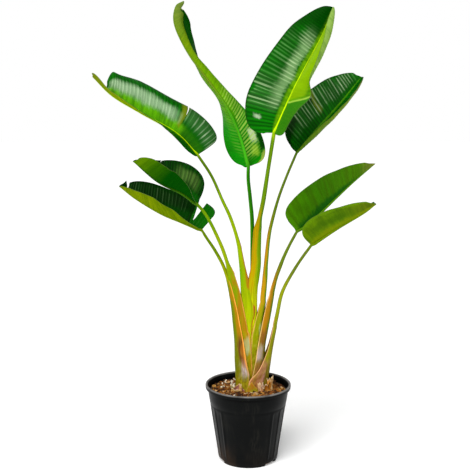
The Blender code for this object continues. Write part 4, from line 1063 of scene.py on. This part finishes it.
def rowPlaces(blade, rows):  # places along the midrib, closer at both ends, with a pair at each tear
    places = []
    for i in range(rows + 1):
        even = i / rows
        places.append(0.55 * even + 0.45 * (0.5 - 0.5 * math.cos(math.pi * even)))
    torn = {}
    for name in ("near", "far"):
        for tear in blade[name].get("tears", []):
            index = min(range(rows), key=lambda i: abs(places[i] - tear[0]))
            middle = 0.5 * (places[index] + places[index + 1])
            places[index] = middle - 0.0006
            places[index + 1] = middle + 0.0006
            torn[index] = (name, tear, middle)
    return places, torn


def columnShare(k):
    even = k / bladeMesh["columns"]
    return 0.5 * even + 0.5 * (0.5 - 0.5 * math.cos(math.pi * even))


def veinAt(key, veins, along):  # 0 at a side vein to 1 on the crest after it, and that crest's lot
    index = min(max(bisect.bisect(veins, along) - 1, 0), len(veins) - 2)
    phase = (along - veins[index]) / (veins[index + 1] - veins[index])
    lot = noise.cell(Vector((index + 0.5, ord(key) + 0.5, 0.5)))
    return math.sin(math.pi * min(max(phase, 0.0), 1.0)), 0.5 + 0.5 * lot


def bladeRow(key, look, t, path, length, veins, torn):
    blade = bladeShapes[key]
    lot = ord(key)
    along, upper, across = bladeFrame(blade, path, t)
    foot = onPath(path, t)
    line = {}
    for name, direction in (("near", blade["side"]), ("far", -blade["side"])):
        half = blade[name]
        outward = across * direction
        width = max(halfWidth(blade, half, t), 0.0012 + 0.003 * (1 - t) ** 4)
        fold, curl, slant = (station(half[part], t) for part in ("fold", "curl", "veins"))
        drawnSlant = slant if look["slant"] is None else look["slant"]
        paints = [layer[1:] for layer in look["paint"] if layer[0] == name]
        paintedSheens = [layer[1:] for layer in look["paintedSheen"] if layer[0] == name]
        yellow = look["yellow"][name]
        point = foot.copy()
        done = 0.0
        cells = []
        for k in range(1, bladeMesh["columns"] + 1):
            share = columnShare(k)
            bend = math.radians(fold + curl * 0.5 * (done + share))
            step = outward * math.cos(bend) + upper * math.sin(bend)
            point = point + step * width * (share - done)
            done = share
            normal = upper * math.cos(bend) - outward * math.sin(bend)
            ahead = slant * width * share * smoothStep(0.010, 0.030, width * share)
            drawn = t * length + ahead - drawnSlant * share * width
            crest, crestLot = veinAt(key, veins, drawn)
            fade = window(share, (0.0, 0.12, 0.86, 1.0)) * window(t, (0.0, 0.05, 0.9, 1.0))
            ripple = bladeMesh["pleat"] * mm * fade * min(width / 0.05, 1.0) * (crest - 0.5)
            sway = noise.noise(Vector((share * 2.2 * direction, t * 7, lot * 0.71))) * bladeMesh["sway"]
            place = point + normal * (ripple + sway * share * window(t, (0, 0.1, 0.85, 1)))
            place += along * (ahead + tearShift(torn, name, t, share, length))
            stray = noise.noise(Vector((share * 3 * direction, t * 9, lot * 2.3)))
            frayed = noise.noise(Vector((share * 15 * direction, drawn * 260, lot * 1.9)))
            # how strongly the painted sheen, glossy reflection painted into the colour, lies here
            shineShare = share * (0.95 + 0.1 * crestLot) + 0.12 * stray
            shine = max([0.0] + [strength * window(shineShare, wide) * window(t, long)
                                 for wide, long, strength in paintedSheens])
            paintAlong = t - look["lean"][name] * share
            paintAlong += look["ragged"][name] * (0.02 * stray + 0.008 * frayed)
            cells.append((place, (direction * share * width, drawn, lot), (share, shine, crest),
                          (t, 1 - smoothStep(yellow * 0.5, yellow, share), crestLot),
                          tintAt(paints, share + 0.06 * stray + 0.07 * frayed, paintAlong)))
        line[name] = cells
    crest, crestLot = veinAt(key, veins, t * length)
    middle = (foot, (0.0, t * length, lot), (0.0, 0.0, crest), (t, 1.0, crestLot), (0, 0, 0, 0))
    return line["near"][::-1] + [middle] + line["far"], upper


def tearShift(torn, name, t, share, length):
    shift = 0.0
    for half, tear, place in torn.values():
        if half != name:
            continue
        _, start, width = tear
        opening = 0.5 * width * max((share - start) / (1 - start), 0.0)
        away = (t - place) * length
        shift += math.copysign(opening, away) * max(1 - abs(away) / bladeMesh["tearReach"], 0.0) ** 2
    return shift


def makeBlade(key, look, surfaces):
    blade = bladeShapes[key]
    rows, columns = bladeMesh["rows"], bladeMesh["columns"]
    path, length = smoothPath(blade["rib"], bladeMesh["pathPoints"])
    veins = veinPlaces(key, length)
    places, torn = rowPlaces(blade, rows)
    bm = bmesh.new()
    layers = [bm.verts.layers.float_vector.new(name) for name in ("leafPlace", "leafTone", "leafSpot")]
    layers.append(bm.verts.layers.float_color.new("leafPaint"))
    bmesh.ops.create_grid(bm, x_segments=rows, y_segments=2 * columns, size=0.5)
    lines = [bladeRow(key, look, t, path, length, veins, torn) for t in places]
    spots = {}
    for vert in bm.verts:
        i = round((vert.co.x + 0.5) * rows)
        k = round((vert.co.y + 0.5) * 2 * columns)
        spots[vert] = (i, k)
        vert.co, *values = lines[i][0][k]
        for layer, value in zip(layers, values):
            vert[layer] = value
    middle = rows // 2
    gap = []
    for face in bm.faces:
        low, first = (min(spots[vert][n] for vert in face.verts) for n in (0, 1))
        if (low, first) == (middle, columns):
            probe = face
        if low not in torn:
            continue
        name, tear, _ = torn[low]
        nearest = first - columns if first >= columns else columns - first - 1
        if (first < columns) == (name == "near") and columnShare(nearest) >= tear[1]:
            gap.append(face)
    bmesh.ops.delete(bm, geom=gap, context="FACES")
    bm.normal_update()
    faceOut(bm, probe, lines[middle][1])
    piece = addPiece("leaf_" + key, bm, surfaces, ["blade_" + key])
    thicken(piece, bladeMesh["thickness"] * mm, inside=1, rim=2)


def paintOver(colour):
    tint, cover = readPaint(treeOf(colour), "leafPaint")
    return mix(cover, colour, tint)


def upperSurface(key, look):
    surface, tree, shader = newSurface("leafUpper_" + key, 0.34, gloss=0.05, glossTint=(0.72, 1.0, 0.50))
    vector, _ = readVector(tree, "leafPlace")
    _, (share, paintedSheen, crest) = readVector(tree, "leafTone")
    _, (along, yellow, crestLot) = readVector(tree, "leafSpot")
    broad = grain(vector, (9, 60, 1), 2)
    fine = grain(vector, (14, 620, 1), 3)
    cloud = grain(vector, (14, 9, 1), 2)
    streak = grain(vector, (9, 150, 1), 3, offset=(0.3, 0.7, 0.1))
    lift = plus(times(spread(crest, 0.35, 1.0), 0.45), times(crestLot, 0.35))
    lift = times(lift, spread(cloud, 0.25, 0.7, 0.25, 1.25))
    colour = mix(times(lift, 1.0, clamp=True), look["upper"], look["fresh"])
    colour = layOver(colour, spread(fine, 0.5, 0.75), 0.35, look["upper"])
    colour = mix(times(yellow, spread(broad, 0.35, 0.6, 0.5, 1.0)), colour, look["band"])
    colour = paintOver(colour)
    # painted sheen: pale lines of painted reflection along the vein crests
    shine = times(paintedSheen, spread(crestLot, 0.0, 1.0, 0.7, 1.0))
    wandering = times(minus(streak, 0.5), look["wander"])
    over = minus(plus(crest, wandering), spread(along, *look["line"]))
    shine = times(shine, spread(over, -0.1, 0.4, look["sheen"], 1.0))
    colour = layOver(colour, shine, 0.9, look["paintedSheenTint"])
    colour = layOver(colour, spread(share, 0.955, 1.0), 0.8, (0.006, 0.030, 0.002))
    join(colour, shader, "Base Color")
    join(plus(0.27, times(cloud, 0.18)), shader, "Roughness")
    bump(shader, fine, 0.25, 0.0005)
    return surface


def underSurface(key, look):
    surface, tree, shader = newSurface("leafUnder_" + key, 0.48, look["gloss"], (0.8, 1.0, 0.5))
    vector, _ = readVector(tree, "leafPlace")
    _, (share, paintedSheen, crest) = readVector(tree, "leafTone")
    _, (along, _, crestLot) = readVector(tree, "leafSpot")
    broad = grain(vector, (8, 90, 1), 2)
    fine = grain(vector, (16, 700, 1), 3)
    cloud = grain(vector, (12, 10, 1), 2)
    colour = ramp(along, look["under"])
    colour = layOver(colour, spread(broad, 0.35, 0.68), look["veinDark"], look["vein"])
    colour = layOver(colour, spread(fine, 0.5, 0.75), look["paleLines"], look["paleVein"])
    colour = paintOver(colour)
    # painted sheen on the under face: pale lines of painted reflection on the crests
    shine = times(times(paintedSheen, spread(crest, 0.35, 0.9)), spread(crestLot, 0.0, 1.0, 0.5, 1.0))
    colour = layOver(colour, shine, look["underPaintedSheen"], look["paintedSheenTint"])
    colour = layOver(colour, spread(share, 0.965, 1.0), 0.5, (0.06, 0.10, 0.006))
    join(colour, shader, "Base Color")
    join(plus(0.40, times(cloud, 0.2)), shader, "Roughness")
    bump(shader, fine, 0.35, 0.0006)
    return surface


# dry scraps of old sheaths: bearings in degrees, height above the soil, where the peak is and
# how far the top leans out

scrapShapes = [
    dict(bearing=(-165, -112), height=0.029, peak=0.70, lean=0.004,
         tints=[(0.20, 0.06, 0.04), (0.42, 0.16, 0.14), (0.70, 0.40, 0.13)]),
    dict(bearing=(-108, -66), height=0.036, peak=0.45, lean=0.002,
         tints=[(0.40, 0.15, 0.006), (0.30, 0.27, 0.004), (0.52, 0.30, 0.03)]),
    dict(bearing=(-62, -46), height=0.033, peak=0.55, lean=0.007,
         tints=[(0.40, 0.14, 0.08), (0.70, 0.42, 0.26), (0.88, 0.70, 0.48)]),
    dict(bearing=(-38, -2), height=0.040, peak=0.65, lean=0.010,
         tints=[(0.22, 0.07, 0.006), (0.58, 0.20, 0.008), (0.66, 0.36, 0.07)]),
]
scrapMesh = dict(rows=26, columns=44, thickness=1.4, depth=0.010, inner=0.0019)


def makeScrap(index, scrap, surface):
    bm = bmesh.new()
    place = bm.verts.layers.float_vector.new("scrapPlace")
    rows, columns = scrapMesh["rows"], scrapMesh["columns"]
    bmesh.ops.create_grid(bm, x_segments=columns, y_segments=rows, size=0.5)
    start, end = (math.radians(angle) for angle in scrap["bearing"])
    outer = scrapMesh["inner"] + scrapMesh["thickness"] * mm
    for vert in bm.verts:
        share, level = vert.co.x + 0.5, vert.co.y + 0.5
        angle = start + (end - start) * share
        slope = share / scrap["peak"]
        if share > scrap["peak"]:
            slope = (1 - share) / (1 - scrap["peak"])
        top = scrap["height"] * (0.25 + 0.75 * slope ** 1.3)
        frayed = noise.noise(Vector((share * 26, index * 5.3, 0.4))) * 0.0022
        rise = (top + frayed + scrapMesh["depth"]) * level - scrapMesh["depth"]
        out = outer + scrap["lean"] * max(rise - 0.006, 0.0) / scrap["height"]
        out += noise.noise(Vector((share * 9, level * 2.4, index * 3.1))) * 0.0013 * level
        vert.co = (clump["middle"] + (clump["halfWidth"] + out) * math.cos(angle),
                   (clump["halfDepth"] + out) * math.sin(angle), soilSize["top"] + rise)
        vert[place] = (share * abs(end - start) * 0.05, rise, level)
    bm.normal_update()
    bm.faces.ensure_lookup_table()
    probe = bm.faces[len(bm.faces) // 2]
    faceOut(bm, probe, probe.calc_center_median() - Vector((clump["middle"], 0, soilSize["top"])))
    piece = addPiece("sheath_scrap_%d" % index, bm, [surface],
                     ["dry_scrap_%d" % index])
    thicken(piece, scrapMesh["thickness"] * mm * 0.8)


def scrapSurface(index, tints):
    surface, tree, shader = newSurface("dryScrap_%d" % index, 0.7, gloss=0.15)
    vector, place = readVector(tree, "scrapPlace")
    streak = grain(vector, (700, 40, 1), 4)
    blotch = grain(vector, (90, 60, 1), 3)
    colour = mix(spread(blotch, 0.35, 0.65), tints[0], tints[1])
    colour = layOver(colour, spread(streak, 0.5, 0.75), 0.6, tints[2])
    colour = mix(spread(place[2], 0.9, 1.0), colour, tints[2])
    join(colour, shader, "Base Color")
    bump(shader, streak, 0.6, 0.0008)
    return surface


# loose flakes of old sheath in the soil: the foot's x and y, width, height and lean outward in metres,
# bearing of the outer face and curl in degrees, and tint

flakeShapes = [
    (0.063, -0.010, 0.027, 0.038, 0.006, -80, 70, (0.62, 0.22, 0.006)),
    (0.074, -0.006, 0.010, 0.045, 0.006, -60, 90, (0.62, 0.40, 0.17)),
    (0.056, -0.020, 0.015, 0.022, 0.008, -100, 60, (0.45, 0.15, 0.006)),
    (0.037, -0.036, 0.013, 0.033, 0.004, -120, -110, (0.72, 0.46, 0.25)),
    (0.042, -0.037, 0.010, 0.019, 0.010, -60, 100, (0.55, 0.24, 0.09)),
    (-0.038, -0.033, 0.036, 0.012, 0.004, -100, 40, (0.60, 0.36, 0.10)),
    (-0.024, -0.036, 0.010, 0.028, 0.002, -110, -80, (0.60, 0.34, 0.10)),
    (-0.051, -0.018, 0.013, 0.020, 0.004, -150, 90, (0.34, 0.40, 0.14)),
    (0.012, -0.047, 0.022, 0.007, 0.008, -90, 60, (0.62, 0.36, 0.12)),
    (-0.008, -0.052, 0.018, 0.006, 0.006, -75, 80, (0.50, 0.24, 0.06)),
]
flakeMesh = dict(columns=22, rows=14, buried=0.008, thickness=0.0009)


def makeFlakes(surface):
    bm = bmesh.new()
    place = bm.verts.layers.float_vector.new("flakePlace")
    paint = bm.verts.layers.float_color.new("flakeTint")
    buried = flakeMesh["buried"]
    for index, (x, y, wide, tall, lean, bearing, bend, tint) in enumerate(flakeShapes):
        before = set(bm.verts)
        bmesh.ops.create_grid(bm, x_segments=flakeMesh["columns"], y_segments=flakeMesh["rows"], size=0.5)
        curl = math.radians(bend)
        turn = math.radians(bearing + 90)
        for vert in set(bm.verts) - before:
            across, level = vert.co.x, vert.co.y + 0.5
            ragged = noise.noise(Vector((across * 5, index * 3.7, 0.2)))
            ragged += 0.5 * noise.noise(Vector((across * 17, index * 1.9, 0.6)))
            rise = (tall * (1 + 0.35 * ragged) + buried) * level - buried
            width = wide * (1 - 0.35 * level * level)
            width *= 1 + 0.12 * noise.noise(Vector((level * 4, index * 2.3, 0.9)))
            angle = curl * across * (0.7 + 0.6 * level)
            sideways = width * math.sin(angle) / curl
            out = lean * level * level - width * (1 - math.cos(angle)) / curl
            out += 0.0012 * noise.noise(Vector((across * 6, level * 5, index * 4.1)))
            vert.co = (x + sideways * math.cos(turn) + out * math.sin(turn),
                       y + sideways * math.sin(turn) - out * math.cos(turn),
                       soilSize["top"] - 0.001 + rise)
            vert[place] = (across * wide, rise, index + level)
            vert[paint] = (*tint, level)
    flakes = addPiece("sheath_flakes", bm, [surface])
    thicken(flakes, flakeMesh["thickness"])


def flakeSurface():
    surface, tree, shader = newSurface("dryFlake", 0.75, gloss=0.1)
    vector, _ = readVector(tree, "flakePlace")
    tint, level = readPaint(tree, "flakeTint")
    streak = grain(vector, (900, 60, 1), 4)
    blotch = grain(vector, (120, 90, 1), 3)
    colour = layOver(tint, spread(blotch, 0.4, 0.7), 0.6, (0.20, 0.06, 0.01))
    colour = layOver(colour, spread(streak, 0.5, 0.72), 0.45, (0.80, 0.55, 0.26))
    colour = mix(spread(level, 0.86, 1.0, 0.0, 0.75), colour, (0.80, 0.62, 0.38))
    join(colour, shader, "Base Color")
    bump(shader, streak, 0.6, 0.0008)
    return surface


# studio. focus is in the photograph's pixels, and panels are name, place, target and power.

studio = dict(
    cameraPlace=(-0.0415, -2.6, 1.086), pitch=8.1, focus=853.0, frameWidth=470.0, sensor=36.0,
    floorHalf=30.0, floorTint=0.97, floorGlow=0.13, skyLight=0.26, seenSky=1.0,
    sunLight=3.2, sunSpread=50, sunTurn=(42, -20), panelSize=1.4,
    panels=[("keyPanel", (-1.6, -1.7, 2.4), (0, 0, 0.9), 24),
            ("fillPanel", (2.2, -1.4, 1.5), (0, 0, 0.8), 12)])


def makeStudio():
    bm = bmesh.new()
    bmesh.ops.create_grid(bm, x_segments=2, y_segments=2, size=studio["floorHalf"])
    surface, _, shader = newSurface("floorPaper", 0.9, gloss=0.1)
    shader.inputs["Base Color"].default_value = (studio["floorTint"],) * 3 + (1,)
    shader.inputs["Emission Color"].default_value = (1, 1, 1, 1)
    shader.inputs["Emission Strength"].default_value = studio["floorGlow"]
    floor = addObject("studioFloor", meshOf("studioFloor", bm))
    floor.data.materials.append(surface)

    world = bpy.data.worlds.new("studioSky")
    bpy.context.scene.world = world
    world.use_nodes = True
    tree = world.node_tree
    sky = tree.nodes["Background"]
    sky.inputs["Color"].default_value = (1, 1, 1, 1)
    sky.inputs["Strength"].default_value = studio["skyLight"]
    seen = addNode(tree, "ShaderNodeBackground", {"Color": (1, 1, 1, 1), "Strength": studio["seenSky"]})
    ray = addNode(tree, "ShaderNodeLightPath", {})
    both = addNode(tree, "ShaderNodeMixShader", {
        0: ray.outputs["Is Camera Ray"], 1: sky.outputs[0], 2: seen.outputs[0]})
    join(both.outputs[0], tree.nodes["World Output"], "Surface")

    sun = bpy.data.lights.new("softSun", "SUN")
    sun.energy = studio["sunLight"]
    sun.angle = math.radians(studio["sunSpread"])
    tilt, turn = (math.radians(angle) for angle in studio["sunTurn"])
    addObject("softSun", sun).rotation_euler = (tilt, 0, turn)
    for name, place, target, power in studio["panels"]:
        lamp = bpy.data.lights.new(name, "AREA")
        lamp.shape = "SQUARE"
        lamp.size = studio["panelSize"]
        lamp.energy = power
        panel = addObject(name, lamp)
        panel.location = place
        panel.rotation_euler = (Vector(target) - Vector(place)).to_track_quat("-Z", "Y").to_euler()


def makeCamera():
    lens = bpy.data.cameras.new("photoCamera")
    lens.sensor_width = studio["sensor"]
    lens.lens = studio["focus"] / studio["frameWidth"] * studio["sensor"]
    lens.clip_end = 60
    camera = addObject("photoCamera", lens)
    camera.location = studio["cameraPlace"]
    camera.rotation_euler = (math.radians(90 - studio["pitch"]), 0, 0)
    bpy.context.scene.camera = camera
    bpy.context.scene.view_settings.view_transform = "Standard"


makeCamera()
makeStudio()
print("studio set")
makePot(potSurface())
print("pot turned")
makeSoil(soilSurface())
makeChips(chipSurface())
makePerlite(plainGrain("perliteCream", (0.50, 0.42, 0.28), (0.85, 0.78, 0.62), 0.9, 400, 0.0006))
makeFibres(plainGrain("fibreTan", (0.16, 0.06, 0.01), (0.48, 0.25, 0.06), 0.85, 200, 0.0003))
print("soil filled")
for key in stalkShapes:
    makeStalk(key, stalkSurface(key))
print("stalks grown")
leafRim = plainGrain("leafEdge", (0.008, 0.045, 0.002), (0.07, 0.13, 0.006), 0.6, 60, 0.0002)
for key in bladeShapes:
    look = {**leafLook, **bladeLooks[key]}
    makeBlade(key, look, [upperSurface(key, look), underSurface(key, look), leafRim])
print("blades unfolded")
for index, scrap in enumerate(scrapShapes, start=1):
    makeScrap(index, scrap, scrapSurface(index, scrap["tints"]))
makeFlakes(flakeSurface())
print("scraps placed")
